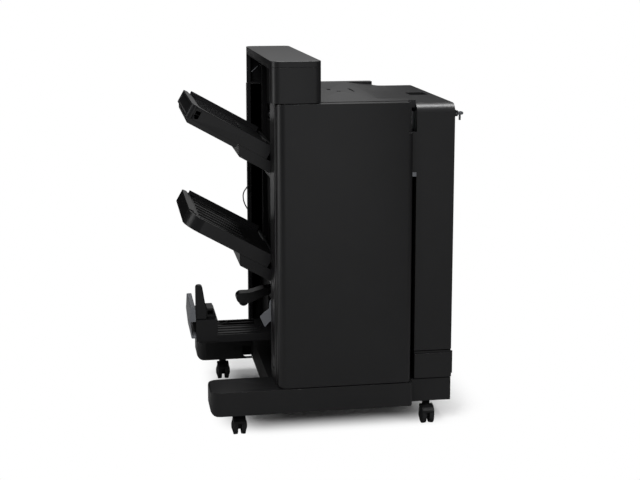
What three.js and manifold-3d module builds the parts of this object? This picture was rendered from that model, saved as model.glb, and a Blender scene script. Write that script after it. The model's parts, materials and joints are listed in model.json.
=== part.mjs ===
// Floor-standing printer finisher: two stacking trays, a booklet tray, a front door and a punch unit.
// Lengths are millimetres and +Z is up. X runs from the stacking side to the feeding side.
// Y runs from the front to the back.
import * as THREE from "three";
import { mergeVertices } from "three/addons/utils/BufferGeometryUtils.js";
import Module from "manifold-3d";

const wasm = await Module();
wasm.setup();

// Driving dimensions
const clearance = 0.3; // between pieces that are seated on each other
const overrun = 2; // how far a cutting shape runs past the face that it cuts
const weld = 0.0003; // points nearer to each other than this are one point
const arcSteps = 4;
const roundSides = 16;
const smallSides = 12;
const wheelSides = 20;

const base = {
  underside: 71, height: 68, legReach: 173, legWidth: 118, wall: 4, sheet: 3,
  endRadius: 28, cornerRadius: 18, edgeRadius: 6, doorSideRadius: 12,
  beamHeight: 50, beamLift: 6, beamReach: 150, beamInset: 6,
  bossRadius: 12, recessWidth: 28, recessHeight: 35, recessLift: 6, recessInset: 3, recessRadius: 12,
};
const cabinet = {
  width: 393, depth: 628, feedDrop: 77, wall: 3, bayFront: 134, rearShell: 28, bayDepth: 45,
  columnFace: 41, columnLeft: 12, columnRadius: 6, frontPlate: 72, plateStart: 24, plateDrop: 22,
  flange: 68, stripWidth: 12.5, rearRadius: 8, windowDrop: 346, windowHeight: 84, stripDrop: 32,
  stripStart: 305,
};
const columnTrim = { low: 169, high: 432, front: 54, width: 73, proud: 1.2 };
const tower = {
  width: 135, top: 1040, height: 113, lidHeight: 16.7, leftRadius: 24, rightRadius: 17, frontInset: 2, lipDepth: 6, sill: 1,
  openFront: 48,
};
const door = {
  left: 13, rightGap: 6, thickness: 35, bottomGap: 3, topGap: 1.5, leftRadius: 25, rightRadius: 14,
  backRadius: 8, wall: 3, bottomCorner: 14, topCorner: 8, gripWidth: 13, gripHeight: 84.5, gripDepth: 30,
  hingeInset: 17, hingeY: 20, pinRadius: 4, pinReach: 13, panelInset: 1, ribCount: 4,
};
const topCover = {
  gap: 3, frontSeam: 97, rearGap: 2, breakInset: 86, slopeReach: 38, fall: 10, skin: 5, hingeEdge: 7,
  hingeInset: 4.5, pinRadius: 2.5, pinReach: 8, stepReach: 12, gripInset: 71, gripLength: 54, gripY: 269,
  gripWidth: 72, gripDepth: 14, slotDepth: 2.5, trimInset: 12, trimDepth: 19,
};
const topSlots = [
  { x: 212, length: 10, y: 352, width: 31 }, { x: 231, length: 12, y: 304, width: 17 },
  { x: 276, length: 7, y: 298, width: 89 },
];
const punch = {
  gap: 11, width: 107, front: 36, rearInset: 66, wall: 3, topRadius: 25, shellDepth: 28, coverBottom: 220,
  earGap: 1, earDrop: 86, earHeight: 112, entryHeight: 16, entryFront: 120, entryInset: 32,
  headDrop: 24, headHeight: 66, headFront: 90, headLength: 76, headEnd: 14,
};
const waste = {
  frontInset: 4, gap: 3, faceDepth: 24, wall: 3, ledgeInset: 6, ledgeDrop: 3, faceDrop: 6.5, binLeftInset: 2,
  binRightInset: 11, binLength: 290, binHeight: 62, flangeReach: 5, flangeInset: 8,
};
const latch = {
  drop: 39, front: 50, width: 10, length: 27, thickness: 9, tipDrop: 15, tipWidth: 6,
  pivotInset: 6, pinRadius: 2.5, ear: 4, earHeight: 16,
};
const caster = {
  leftX: -90, rightInset: 64, frontY: 66, rearInset: 74, trail: 10, wheelRadius: 25, wheelWidth: 16.5,
  webWidth: 10, axleRadius: 4, barrelRadius: 11, barrelLow: 51.5, barrelHigh: 60, stemRadius: 6, stemTop: 118,
  rimLip: 1, rimFlat: 5, hubRadius: 8, bulge: 3.5, webRadius: 11, hoodRadius: 30, hoodWidth: 34, hoodSkin: 3,
  faceShare: 0.72, hoodShare: 0.8,
};
const tray = {
  upperDrop: 45.1, lowerHeight: 496.3, tiltDegrees: 29.3, frontGap: 4, rearInset: 85, upperLength: 214,
  lowerLength: 225.13, machineEnd: 24, thickness: 38, rim: 8, sink: 6, floor: 4, wall: 4, cornerRadius: 40,
  edgeRadius: 6, ribCount: 7, ribWidth: 3, ribHeight: 3, ribStart: 60, ribEnd: 205, capLength: 16.5,
  capRadius: 12, capLip: 2, panelSink: 3, panelBorder: 10, tongueInset: 22, tongueReach: 150,
  tongueDepth: 20, tongueSkin: 4, shellStart: 66, shellDrop: 14, shellInset: 3, shellReach: 215.6,
  notchStart: 196, capGap: 1.7, railHeight: 9,
};
const carriage = {
  reach: 75, drop: 68, wall: 4, cornerRadius: 5, plateX: 22, plateSkin: 5, plateLow: 112, plateHigh: 14,
  sideInset: 10, shoeWidth: 8, shoeReach: 13, shoeLow: 105, shoeHigh: 25,
};
const rail = { frontInset: 22, rearInset: 45, width: 16, depth: 12, low: 345, topDrop: 40 };
const booklet = {
  deckTop: 229, deckBottom: 207, front: 250, width: 155, reach: 185, wall: 3, skin: 3,
  ribCount: 6, ribWidth: 4, ribHeight: 2, ribStart: 10, ribEnd: 128, slotX: 96, slotLength: 12, slotWidth: 9,
  slotCount: 3, slotPitch: 21, slotY: 345,
};
const stopper = {
  left: 192, right: 130, top: 277, skirt: 213, side: 4, wall: 4, flapReach: 19, flapTop: 316,
  flapMiddle: 272, flapLow: 223, flapBow: 5, flapSkin: 2.5, humpLeft: 161, humpRight: 135, humpTop: 304,
  humpFront: 272, humpWidth: 60, holeWidth: 16, holeHeight: 13, holeLift: 8,
};
const post = { left: 192, baseRight: 161, topRight: 173, top: 378, front: 253, width: 20, tipRadius: 8 };
const pressArm = {
  pivotX: 30, pivotZ: 343, height: 31, bendX: 31, tipX: 53, tipZ: 321, front: 305, width: 40, cheek: 4,
  pinRadius: 4, pinReach: 5, lug: 4, lugHeight: 12, rollerX: 47, rollerZ: 311, rollerRadius: 14.5,
  axleRadius: 3,
};
const sideGuide = { skin: 3, edge: 2, left: 20, right: 20, low: 280, high: 366 };
const sideGuideShares = [
  [0, 0.36], [0.35, 0.52], [0.65, 0.62], [0.7, 0.88], [1, 1], [1, 0.21], [0.7, 0.18], [0.35, 0],
];
const entryRoller = { inset: 27, radius: 10, shaftRadius: 4, sleeve: 60, count: 3 };
const deliveryRoller = { x: 54, radius: 11, shaftRadius: 4, sleeve: 40, count: 3 };
const foldRoller = { x: 120, z: 262, radius: 17, shaftRadius: 5 };
const exitSlot = {
  deliveryBelow: 14, deliveryAbove: 30, bookletLow: 232, bookletHigh: 292, front: 192, rear: 460,
};
const knob = { radius: 20, length: 20, ribs: 10, ribRadius: 2.5, ribSides: 6, back: 66 };
const stapler = {
  inset: 93, drop: 290, rodRadius: 5, rodMargin: 6, front: 210, width: 60, length: 90, height: 80, jawGap: 12,
  jawDepth: 40, jawLift: 24,
};
const process = { lowInset: 72, lowDrop: 250, highX: 75, highDrop: 105, skin: 3, lip: 20 };
const motor = {
  inset: 143, drop: 100, radius: 28, length: 32, shaftRadius: 3, pulleyRadius: 12, pulleyWidth: 10, pulleyGap: 6,
  beltSkin: 1.8, beltInset: 1,
};
const board = {
  drop: 430, height: 150, left: 90, length: 180, skin: 2, chipHeight: 12, chipSize: 40, chipPitch: 60,
  chipCount: 2,
};
const striker = { height: 12, skin: 2, depth: 8 };
const release = { x: 215, drop: 150, pivotRadius: 5, length: 70, width: 16, skin: 6, grip: 14, front: 52 };
const flag = {
  pivotX: 36, pivotDrop: 55, tipX: 13, tipDrop: 76, rodRadius: 1.6, barrelRadius: 4, rearInset: 25, width: 8,
  pinRadius: 2, pinReach: 3, lug: 3, lugHeight: 10,
};

// Held cable: it leaves the rear cover, loops down outside and goes back in. Points are [x, z]
const cable = { radius: 1.9, holeRadius: 5.6, rearInset: 15, sides: 8, steps: 36 };
const cableOut = [1.5, 600.6];
const cableIn = [1.5, 526.5];
const cablePath = [
  [26, 612], [18, 609.5], [11, 606], cableOut, [-4, 593], [-9.5, 585], [-12.6, 576], [-13, 566],
  [-11.5, 555], [-8, 544], [-3, 534], cableIn, [11, 521.5], [18, 518.5], [26, 517],
];
const cableHeights = [cableOut, cableIn].map(([, height]) => height); // where it passes through the cover

// Places that several pieces share
const cabinetTop = tower.top - tower.height;
const feedZ = cabinetTop - cabinet.feedDrop; // the level that sheets come in and leave at
const upperTrayZ = feedZ - tray.upperDrop;
const lowTop = cabinetTop - topCover.fall;
const earHigh = cabinetTop - punch.earDrop;
const earLow = earHigh - punch.earHeight;
const latchZ = cabinetTop - latch.drop;
const staplerZ = feedZ - stapler.drop;
const motorZ = feedZ - motor.drop;
const boardLow = feedZ - board.drop;
const releaseZ = feedZ - release.drop;
const windowLow = cabinetTop - cabinet.windowDrop;
const flagPivot = [flag.pivotX, tower.top - flag.pivotDrop];
const flagTip = [flag.tipX, tower.top - flag.tipDrop];
const pressPivot = [pressArm.pivotX, pressArm.pivotZ];
const bayRear = cabinet.depth - cabinet.rearShell;
const rearPlate = cabinet.depth - cabinet.frontPlate;
const doorRight = cabinet.width - door.rightGap;
const doorHinge = [door.left + door.hingeInset, door.hingeY];
const punchLeft = cabinet.width + punch.gap;
const punchRight = punchLeft + punch.width;
const punchRear = cabinet.depth - punch.rearInset;
const entryRear = punchRear - punch.entryInset;
const casterRight = punchRight - caster.rightInset;
const casterRear = cabinet.depth - caster.rearInset;
const cableY = cabinet.depth - cable.rearInset;
const flagY = bayRear - flag.rearInset;
const entryX = cabinet.width - entryRoller.inset;
const staplerX = cabinet.width - stapler.inset;
const motorX = cabinet.width - motor.inset;
const floorTop = base.underside + base.height;
const seatHeight = floorTop + clearance;
const coverTop = cabinetTop - clearance;
const beamHalf = caster.frontY - punch.front - punch.wall - clearance;
const towerFloor = cabinetTop + tower.sill;
const towerRim = tower.top - tower.lidHeight;
const plateTop = cabinetTop - cabinet.plateDrop;
const punchSeam = punch.front + punch.shellDepth + clearance;
const doorLow = floorTop + door.bottomGap;
const doorHigh = cabinetTop - door.topGap;
const trayFront = cabinet.bayFront + tray.frontGap;
const trayRear = bayRear - tray.rearInset;
const railPlaces = [trayFront + rail.frontInset, trayRear - rail.rearInset];
const tilt = THREE.MathUtils.degToRad(tray.tiltDegrees);
const capReach = clearance + tray.capLength; // from the end of a deck to the outside of its end piece
const latchReach = punchRight + latch.length;
const hingePin = [tower.width + topCover.gap + topCover.hingeInset, cabinetTop - topCover.hingeEdge / 2];

// Surface colours, one material for each finish
const finish = (color, roughness, metalness = 0) =>
  new THREE.MeshStandardMaterial({ color, roughness, metalness, flatShading: true });
const shellBlack = finish(0x252526, 0.42);
const trimBlack = finish(0x1c1c1d, 0.5);
const trayBlack = finish(0x2c2c2d, 0.45);
const innerBlack = finish(0x141415, 0.6);
const greyPlastic = finish(0x8d8f90, 0.5);
const greenPlastic = finish(0x2f7f4c, 0.45);
const steel = finish(0xb4b6b8, 0.35, 0.9);
const rubber = finish(0x2b2b2a, 0.8);
const boardGreen = finish(0x1f5a38, 0.5);

// A closed mesh becomes a solid once its vertices are merged
function solidOf(shape) {
  if (!shape.isBufferGeometry) return shape;
  const bare = shape.clone();
  bare.deleteAttribute("normal");
  bare.deleteAttribute("uv");
  const merged = mergeVertices(bare, weld);
  const vertProperties = new Float32Array(merged.attributes.position.array);
  const triVerts = new Uint32Array(merged.index.array);
  return new wasm.Manifold(new wasm.Mesh({ numProp: 3, vertProperties, triVerts }));
}
const fuse = (first, ...rest) => rest.reduce((sum, next) => sum.add(solidOf(next)), solidOf(first));
const cut = (first, ...rest) => rest.reduce((sum, next) => sum.subtract(solidOf(next)), solidOf(first));
const meet = (first, ...rest) => rest.reduce((sum, next) => sum.intersect(solidOf(next)), solidOf(first));

// Box between a low and a high value on each axis
function block(x, y, z) {
  const shape = new THREE.BoxGeometry(x[1] - x[0], y[1] - y[0], z[1] - z[0]);
  return shape.translate((x[0] + x[1]) / 2, (y[0] + y[1]) / 2, (z[0] + z[1]) / 2);
}

// Outline through corners [a, b, radius], each turned by a true arc
function outline(corners) {
  const points = [];
  corners.forEach(([a, b, radius = 0], i) => {
    const here = new THREE.Vector2(a, b);
    if (radius === 0) {
      points.push(here);
      return;
    }
    const before = corners[(i + corners.length - 1) % corners.length];
    const after = corners[(i + 1) % corners.length];
    const back = new THREE.Vector2(before[0], before[1]).sub(here).normalize();
    const ahead = new THREE.Vector2(after[0], after[1]).sub(here).normalize();
    const half = Math.acos(THREE.MathUtils.clamp(back.dot(ahead), -1, 1)) / 2;
    const middle = back.clone().add(ahead).normalize().multiplyScalar(radius / Math.sin(half)).add(here);
    const start = back.multiplyScalar(radius / Math.tan(half)).add(here);
    const end = ahead.multiplyScalar(radius / Math.tan(half)).add(here);
    const from = Math.atan2(start.y - middle.y, start.x - middle.x);
    let turn = Math.atan2(end.y - middle.y, end.x - middle.x) - from;
    turn -= 2 * Math.PI * Math.round(turn / (2 * Math.PI));
    for (let step = 0; step <= arcSteps; step++) {
      const angle = from + (turn * step) / arcSteps;
      const spoke = new THREE.Vector2(Math.cos(angle), Math.sin(angle)).multiplyScalar(radius);
      points.push(spoke.add(middle));
    }
  });
  return new THREE.Shape(points.filter((point, i) => point.distanceTo(points.at(i - 1)) > weld));
}
const rectangle = (a, b, radius = 0) => outline([
  [a[0], b[0], radius], [a[1], b[0], radius], [a[1], b[1], radius], [a[0], b[1], radius],
]);

// An outline extruded along one axis: X takes (y, z), Y takes (x, z) and Z takes (x, y)
function prism(axis, shape, [low, high]) {
  const body = new THREE.ExtrudeGeometry(shape, { depth: high - low, bevelEnabled: false, steps: 1 });
  if (axis === "x") {
    return body.applyMatrix4(new THREE.Matrix4().set(0, 0, 1, low, 1, 0, 0, 0, 0, 1, 0, 0, 0, 0, 0, 1));
  }
  if (axis === "y") {
    return body.applyMatrix4(new THREE.Matrix4().set(1, 0, 0, 0, 0, 0, -1, high, 0, 1, 0, 0, 0, 0, 0, 1));
  }
  return body.translate(0, 0, low);
}

// Round bar along one axis, centred at the two other coordinates
function rod(axis, radius, [a, b], [low, high], sides = roundSides) {
  const bar = new THREE.CylinderGeometry(radius, radius, high - low, sides);
  if (axis === "x") return bar.rotateZ(Math.PI / 2).translate((low + high) / 2, a, b);
  if (axis === "y") return bar.translate(a, (low + high) / 2, b);
  return bar.rotateX(Math.PI / 2).translate(a, b, (low + high) / 2);
}

function piece(group, name, solid, material) {
  const mesh = solidOf(solid).getMesh();
  const shape = new THREE.BufferGeometry();
  shape.setAttribute("position", new THREE.BufferAttribute(new Float32Array(mesh.vertProperties), 3));
  shape.setIndex(new THREE.BufferAttribute(new Uint32Array(mesh.triVerts), 1));
  shape.computeVertexNormals();
  const node = new THREE.Mesh(shape, material);
  node.name = name;
  group.add(node);
}

// Base: a steel frame with two channel beams, under two moulded leg covers
function baseFrame() {
  const x = [0, cabinet.width - clearance];
  const y = [base.legWidth + clearance, cabinet.depth - base.legWidth - clearance];
  const sheet = base.sheet;
  const hollow = block([x[0] + sheet, x[1] - sheet], [y[0] - overrun, y[1] + overrun],
    [base.underside - overrun, floorTop - sheet]);
  const low = base.underside + base.beamLift;
  const high = low + base.beamHeight;
  const parts = [block(x, [caster.frontY, casterRear], [low, low + sheet])];
  const bores = [];
  for (const centre of [caster.frontY, casterRear]) {
    const across = [centre - beamHalf, centre + beamHalf];
    const inside = [across[0] + sheet, across[1] - sheet];
    const span = [-base.beamReach, punchRight - base.beamInset];
    parts.push(cut(block(span, across, [low, high]),
      block([span[0] + sheet, -sheet], inside, [low - overrun, high - sheet]),
      block([x[1] + sheet, span[1] - sheet], inside, [low - overrun, high - sheet])));
    for (const place of [caster.leftX, casterRight]) {
      parts.push(rod("z", base.bossRadius, [place, centre], [low + sheet, high - sheet / 2]));
      bores.push(rod("z", caster.stemRadius + clearance, [place, centre],
        [low - overrun, caster.stemTop + clearance]));
    }
  }
  return cut(fuse(cut(block(x, y, [base.underside, floorTop]), hollow), ...parts), ...bores);
}

function legCover(isFront) {
  const wall = base.wall;
  const side = (a, b) => (isFront ? [a, b] : [cabinet.depth - b, cabinet.depth - a]);
  const ends = side(0, base.legWidth);
  const [outer, inner] = isFront ? ends : [ends[1], ends[0]];
  const inward = isFront ? wall : -wall;
  const x = [-base.legReach, cabinet.width];
  const z = [base.underside, floorTop];
  const plan = outline([
    [x[0], outer, base.endRadius], [x[1], outer, base.doorSideRadius],
    [x[1], inner], [x[0], inner, base.endRadius],
  ]);
  const face = outline([
    [x[0], z[0], base.cornerRadius], [x[1], z[0], base.edgeRadius], [x[1], z[1]], [x[0], z[1], base.edgeRadius],
  ]);
  const cavity = prism("z", outline([
    [x[0] + wall, outer + inward, base.endRadius - wall],
    [x[1] - wall, outer + inward, base.doorSideRadius - wall],
    [x[1] - wall, inner - inward],
    [x[0] + wall, inner - inward, base.endRadius - wall],
  ]), [z[0] - overrun, z[1] - wall]);
  const centre = isFront ? caster.frontY : caster.rearInset;
  const passage = block([x[1] - 2 * wall, x[1] + overrun],
    side(centre - beamHalf - wall, base.legWidth + overrun), [z[0] - overrun, z[1] - wall]);
  const innerSide = block([-clearance, x[1] + overrun], side(base.legWidth - 2 * wall, base.legWidth + overrun),
    [z[0] - overrun, z[1] - wall]);
  let cover = cut(meet(prism("z", plan, z), prism("y", face, ends)), cavity, passage, innerSide);
  if (isFront) {
    const pinSpan = [z[1] - wall, doorLow + door.pinReach];
    cover = fuse(cover, rod("z", door.pinRadius, doorHinge, pinSpan));
  } else {
    const right = -base.recessInset;
    const hole = outline([
      [right - base.recessWidth, base.underside + base.recessLift, base.recessRadius],
      [right, base.underside + base.recessLift],
      [right, base.underside + base.recessLift + base.recessHeight],
      [right - base.recessWidth, base.underside + base.recessLift + base.recessHeight],
    ]);
    cover = cut(cover, prism("y", hole, [ends[0] - overrun, ends[0] + 2 * wall]));
  }
  return cover;
}

// Inner frame: sheet steel plates that carry the shafts
const frontPlateBack = cabinet.frontPlate + cabinet.wall;
const rearPlateBack = rearPlate + cabinet.wall;
const plateFront = [cabinet.frontPlate, frontPlateBack];
const plateRear = [rearPlate, rearPlateBack];
const shafts = [
  [entryRoller.shaftRadius, entryX, feedZ],
  [entryRoller.shaftRadius, entryX, feedZ + 2 * entryRoller.radius + clearance],
  [deliveryRoller.shaftRadius, deliveryRoller.x, feedZ],
  [foldRoller.shaftRadius, foldRoller.x, foldRoller.z],
  [foldRoller.shaftRadius, foldRoller.x, foldRoller.z + 2 * foldRoller.radius + clearance],
  [stapler.rodRadius, staplerX, staplerZ],
];

function sidePlate(isFront) {
  const y = isFront ? plateFront : plateRear;
  const foot = cabinet.bayDepth + cabinet.wall + clearance;
  const x = [isFront ? cabinet.plateStart : foot, cabinet.width - cabinet.wall];
  const flangeY = isFront ? [y[0], y[0] + cabinet.flange] : [y[0] - cabinet.flange, y[1]];
  const through = [y[0] - overrun, y[1] + overrun];
  const ownShaft = isFront
    ? [release.pivotRadius, release.x, releaseZ]
    : [motor.shaftRadius, motorX, motorZ];
  const holes = [...shafts, ownShaft].map(([radius, a, b]) => rod("y", radius + clearance, [a, b], through));
  const bottom = block([foot, x[1]], flangeY, [seatHeight, seatHeight + cabinet.wall]);
  return cut(fuse(block(x, y, [seatHeight, plateTop]), bottom), ...holes);
}

function rightSidePlate() {
  const x = [cabinet.width - cabinet.wall + clearance, cabinet.width + clearance];
  const y = [plateFront[0], bayRear - clearance];
  const slot = block([x[0] - overrun, x[1] + overrun], [punch.entryFront, entryRear],
    [feedZ - cabinet.wall, feedZ + punch.entryHeight + cabinet.wall]);
  return cut(block(x, y, [seatHeight, plateTop]), slot);
}

function bayBackPanel() {
  const x = [cabinet.bayDepth, cabinet.bayDepth + cabinet.wall];
  const through = [x[0] - overrun, x[1] + overrun];
  const y = [cabinet.bayFront + clearance, bayRear - clearance];
  const panel = block(x, y, [seatHeight, towerRim - tower.lipDepth - clearance]);
  const slots = [
    block(through, [exitSlot.front, exitSlot.rear], [feedZ - exitSlot.deliveryBelow, feedZ + exitSlot.deliveryAbove]),
    block(through, [exitSlot.front, exitSlot.rear], [exitSlot.bookletLow, exitSlot.bookletHigh]),
  ];
  const armSpan = [pressArm.front, pressArm.front + pressArm.width];
  const flagSpan = [flagY - flag.width / 2, flagY + flag.width / 2];
  return fuse(cut(panel, ...slots), ...pivotLugs(pressArm, pressPivot, armSpan, x[1]),
    ...pivotLugs(flag, flagPivot, flagSpan, x[1]));
}

// Two lugs that hold the ends of a pivot pin, one on each side of the swinging piece
function pivotLugs(size, pivot, [from, to], rootX) {
  const half = size.lugHeight / 2;
  const [x, z] = pivot;
  return [from - clearance - size.lug, to + clearance].map((low) => cut(
    block([x - half, rootX], [low, low + size.lug], [z - half, z + half]),
    rod("y", size.pinRadius + clearance, pivot, [low - overrun, low + size.lug + overrun]),
  ));
}

function frontColumnCover() {
  const x = [cabinet.columnLeft, cabinet.bayDepth + cabinet.wall];
  const y = [cabinet.columnFace, cabinet.bayFront];
  const wall = cabinet.wall;
  const plan = outline([[x[0], y[0], cabinet.columnRadius], [x[1], y[0]], [x[1], y[1]], [x[0], y[1]]]);
  const hollow = block([x[0] + wall, x[1] + overrun], [y[0] + wall, y[1] - wall],
    [seatHeight + wall, coverTop - wall]);
  const trim = rectangle([columnTrim.front, columnTrim.front + columnTrim.width],
    [columnTrim.low, columnTrim.high], columnTrim.width / 2);
  const plateSlot = block([cabinet.plateStart - clearance, x[1] + overrun],
    [plateFront[0] - clearance, plateFront[1] + clearance], [seatHeight - overrun, plateTop + clearance]);
  return cut(fuse(cut(prism("z", plan, [seatHeight, coverTop]), hollow),
    prism("x", trim, [x[0] - columnTrim.proud, x[0] + wall / 2])), plateSlot);
}

function rearCover() {
  const wall = cabinet.wall;
  const x = [0, cabinet.width + wall];
  const y = [bayRear, cabinet.depth];
  const z = [seatHeight, coverTop];
  const plan = outline([
    [x[0], y[0]], [x[1], y[0]], [x[1], y[1], cabinet.rearRadius], [x[0], y[1], cabinet.rearRadius],
  ]);
  const hollow = block([x[0] + wall, x[1] - wall], [y[0] - overrun, y[1] - wall], [z[0] + wall, z[1] - wall]);
  const strip = block([x[0], x[0] + cabinet.stripWidth], [y[0], y[0] + wall], z);
  const topStrip = block([cabinet.stripStart, x[1]], [y[0], y[0] + wall], [cabinetTop - cabinet.stripDrop, z[1]]);
  const boss = block([hingePin[0] - topCover.hingeEdge, hingePin[0] + topCover.hingeEdge],
    [y[0], y[0] + topCover.pinReach + overrun], [cabinetTop - 2 * topCover.hingeEdge, z[1]]);
  const sideWindow = block([x[0] + wall, x[0] + cabinet.stripWidth - wall], [y[0] - overrun, y[0] + 2 * wall],
    [windowLow, windowLow + cabinet.windowHeight]);
  const holes = cableHeights.map((height) =>
    rod("x", cable.holeRadius, [cableY, height], [x[0] - overrun, x[0] + 2 * wall], smallSides));
  const pinHole = rod("y", topCover.pinRadius + clearance, hingePin,
    [y[0] - overrun, y[0] + topCover.pinReach + clearance]);
  return cut(fuse(cut(prism("z", plan, z), hollow), strip, topStrip, boss), sideWindow, ...holes, pinHole);
}

function interfaceCable() {
  const route = new THREE.CatmullRomCurve3(cablePath.map(([x, z]) => new THREE.Vector3(x, cableY, z)));
  const ring = new THREE.EllipseCurve(0, 0, cable.radius, cable.radius).getPoints(cable.sides).slice(1);
  const section = new THREE.Shape(ring);
  return new THREE.ExtrudeGeometry(section, { steps: cable.steps, extrudePath: route, bevelEnabled: false });
}

// Tower over the stacking bay, open towards the trays, with a lid
function towerPlan(by) {
  const x = [by, tower.width - by];
  const y = [tower.frontInset + by, cabinet.depth - by];
  return outline([
    [x[0], y[0], tower.leftRadius - by], [x[1], y[0], tower.rightRadius - by],
    [x[1], y[1], tower.rightRadius - by], [x[0], y[1], tower.leftRadius - by],
  ]);
}

function towerHousing() {
  const wall = cabinet.wall;
  const z = [towerFloor, towerRim];
  const outer = prism("z", towerPlan(0), z);
  const inner = prism("z", towerPlan(wall), [z[0] + wall, z[1] + overrun]);
  const well = block([-overrun, cabinet.bayDepth + cabinet.wall + clearance], [tower.openFront, bayRear],
    [z[0] - overrun, z[1] - 2 * wall]);
  const strip = block([0, cabinet.stripWidth], [bayRear, bayRear + wall],
    [z[0], z[1] - tower.lipDepth - clearance]);
  const pin = rod("z", door.pinRadius, doorHinge, [doorHigh - door.pinReach, z[0] + wall]);
  return fuse(cut(outer, inner, well), strip, pin);
}

function towerLid() {
  const wall = cabinet.wall;
  const z = [towerRim + clearance, tower.top];
  const gap = wall + clearance;
  const inner = prism("z", towerPlan(2 * wall), [z[0] - tower.lipDepth - overrun, z[1] - wall]);
  const lip = prism("z", towerPlan(gap), [z[0] - tower.lipDepth, z[0] + wall]);
  return cut(fuse(prism("z", towerPlan(0), z), lip), inner);
}

// Top of the cabinet: a fixed trim behind the door and a hinged jam cover
function topFrontTrim() {
  const wall = cabinet.wall;
  const x = [cabinet.bayDepth + cabinet.wall + clearance, cabinet.width - clearance];
  const y = [punch.front, topCover.frontSeam - clearance];
  const z = [plateTop + clearance, cabinetTop];
  const trimRight = cabinet.width - topCover.trimInset;
  const trimBack = y[0] + topCover.trimDepth;
  const plan = outline([
    [x[0], y[0]], [trimRight, y[0]], [trimRight, trimBack], [punchLeft - clearance, trimBack],
    [punchLeft - clearance, punchSeam - clearance], [x[1], y[1]], [x[0], y[1]],
  ]);
  const underTower = block([x[0] - overrun, tower.width + clearance], [y[0] - overrun, y[1] + overrun],
    [coverTop, z[1] + overrun]);
  const inside = [x[0] + wall, x[1] - wall];
  const hollow = block(inside, [y[0] + wall, plateFront[0] - wall], [z[0] - overrun, z[1] - wall]);
  const pocket = block(inside, [plateFront[1] + wall, y[1] - wall], [z[0] - overrun, z[1] - wall]);
  const hole = rod("y", topCover.pinRadius + clearance, hingePin,
    [y[1] - topCover.pinReach - clearance, y[1] + overrun]);
  const pinBoss = block([hingePin[0] - topCover.hingeEdge, hingePin[0] + topCover.hingeEdge],
    [plateFront[1], y[1]], [z[1] - 2 * topCover.hingeEdge, z[1]]);
  return cut(fuse(cut(prism("z", plan, z), underTower, hollow, pocket), pinBoss), hole);
}

function jamCover() {
  const start = tower.width + topCover.gap;
  const end = punchRight;
  const rearLeft = bayRear - topCover.rearGap;
  const rearRight = punchRear - topCover.rearGap;
  const stepX = cabinet.width + topCover.stepReach;
  const plan = outline([
    [start, topCover.frontSeam], [cabinet.width, topCover.frontSeam], [stepX, punchSeam],
    [end, punchSeam], [end, rearRight, punch.wall], [stepX, rearRight],
    [cabinet.width, rearRight + (rearLeft - rearRight) / 2], [cabinet.width, rearLeft], [start, rearLeft],
  ]);
  const steps = 2 * arcSteps;
  const slopeStart = cabinet.width - topCover.breakInset;
  const slopeLength = topCover.breakInset + topCover.slopeReach;
  const slope = [];
  for (let step = 0; step <= steps; step++) {
    const share = step / steps;
    const x = slopeStart + share * slopeLength;
    slope.push([x, lowTop + topCover.fall * (1 - share) ** 2]);
  }
  const upper = [[start, cabinetTop], ...slope, [end, lowTop]];
  const lower = upper.slice(1).map(([x, z]) => [x, z - topCover.skin]).reverse();
  const edgeEnd = start + 2 * topCover.hingeEdge;
  const edgeLow = cabinetTop - topCover.hingeEdge;
  const edge = [[edgeEnd, cabinetTop - topCover.skin], [edgeEnd, edgeLow], [start, edgeLow]];
  const profile = outline([...upper, ...lower, ...edge]);
  const sheet = meet(prism("z", plan, [lowTop - 2 * topCover.gripDepth, cabinetTop + overrun]),
    prism("y", profile, [punchSeam - overrun, rearLeft + overrun]));
  const gripStart = punchRight - topCover.gripInset;
  const gripEnd = gripStart + topCover.gripLength;
  const gripRear = topCover.gripY + topCover.gripWidth;
  const gripPlan = (by) => rectangle([gripStart - by, gripEnd + by], [topCover.gripY - by, gripRear + by],
    punch.wall + by);
  const gripFloor = lowTop - topCover.gripDepth;
  const tub = prism("z", gripPlan(punch.wall), [gripFloor - punch.wall, lowTop - topCover.skin / 2]);
  const pocket = prism("z", gripPlan(0), [gripFloor, cabinetTop]);
  const slots = topSlots.map(({ x, length, y, width }) => prism("z",
    rectangle([x, x + length], [y, y + width], length / 3),
    [cabinetTop - topCover.slotDepth, cabinetTop + overrun]));
  const pins = [
    rod("y", topCover.pinRadius, hingePin,
      [topCover.frontSeam - topCover.pinReach, topCover.frontSeam + overrun]),
    rod("y", topCover.pinRadius, hingePin, [rearLeft - overrun, rearLeft + topCover.pinReach]),
  ];
  return cut(fuse(sheet, tub, ...pins), pocket, ...slots);
}

// Front door: a moulded shell with a finger grip at its free edge, closed by an inner panel
function frontDoor() {
  const wall = door.wall;
  const x = [door.left, doorRight];
  const y = [0, door.thickness];
  const z = [doorLow, doorHigh];
  const plan = outline([
    [x[0], y[0], door.leftRadius], [x[1], y[0], door.rightRadius], [x[1], y[1]], [x[0], y[1], door.backRadius],
  ]);
  const face = outline([
    [x[0], z[0], door.bottomCorner], [x[1], z[0], wall], [x[1], z[1], wall], [x[0], z[1], door.topCorner],
  ]);
  const outer = meet(prism("z", plan, z), prism("y", face, y));
  const hollow = prism("z", outline([
    [x[0] + wall, y[0] + wall, door.leftRadius - wall], [x[1] - wall, y[0] + wall, door.rightRadius - wall],
    [x[1] - wall, y[1] + overrun], [x[0] + wall, y[1] + overrun],
  ]), [z[0] + wall, z[1] - wall]);
  const gripLeft = x[1] - door.gripWidth;
  const gripLow = z[1] - door.gripHeight;
  const liner = meet(outer, block([gripLeft - wall, x[1]], y, [gripLow - wall, z[1]]));
  const grip = block([gripLeft, x[1] + overrun], [y[0] - overrun, door.gripDepth], [gripLow, z[1] + overrun]);
  const pinHole = rod("z", door.pinRadius + clearance, doorHinge, [z[0] - overrun, z[1] + overrun]);
  return cut(fuse(cut(outer, hollow), liner), grip, pinHole);
}

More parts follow.
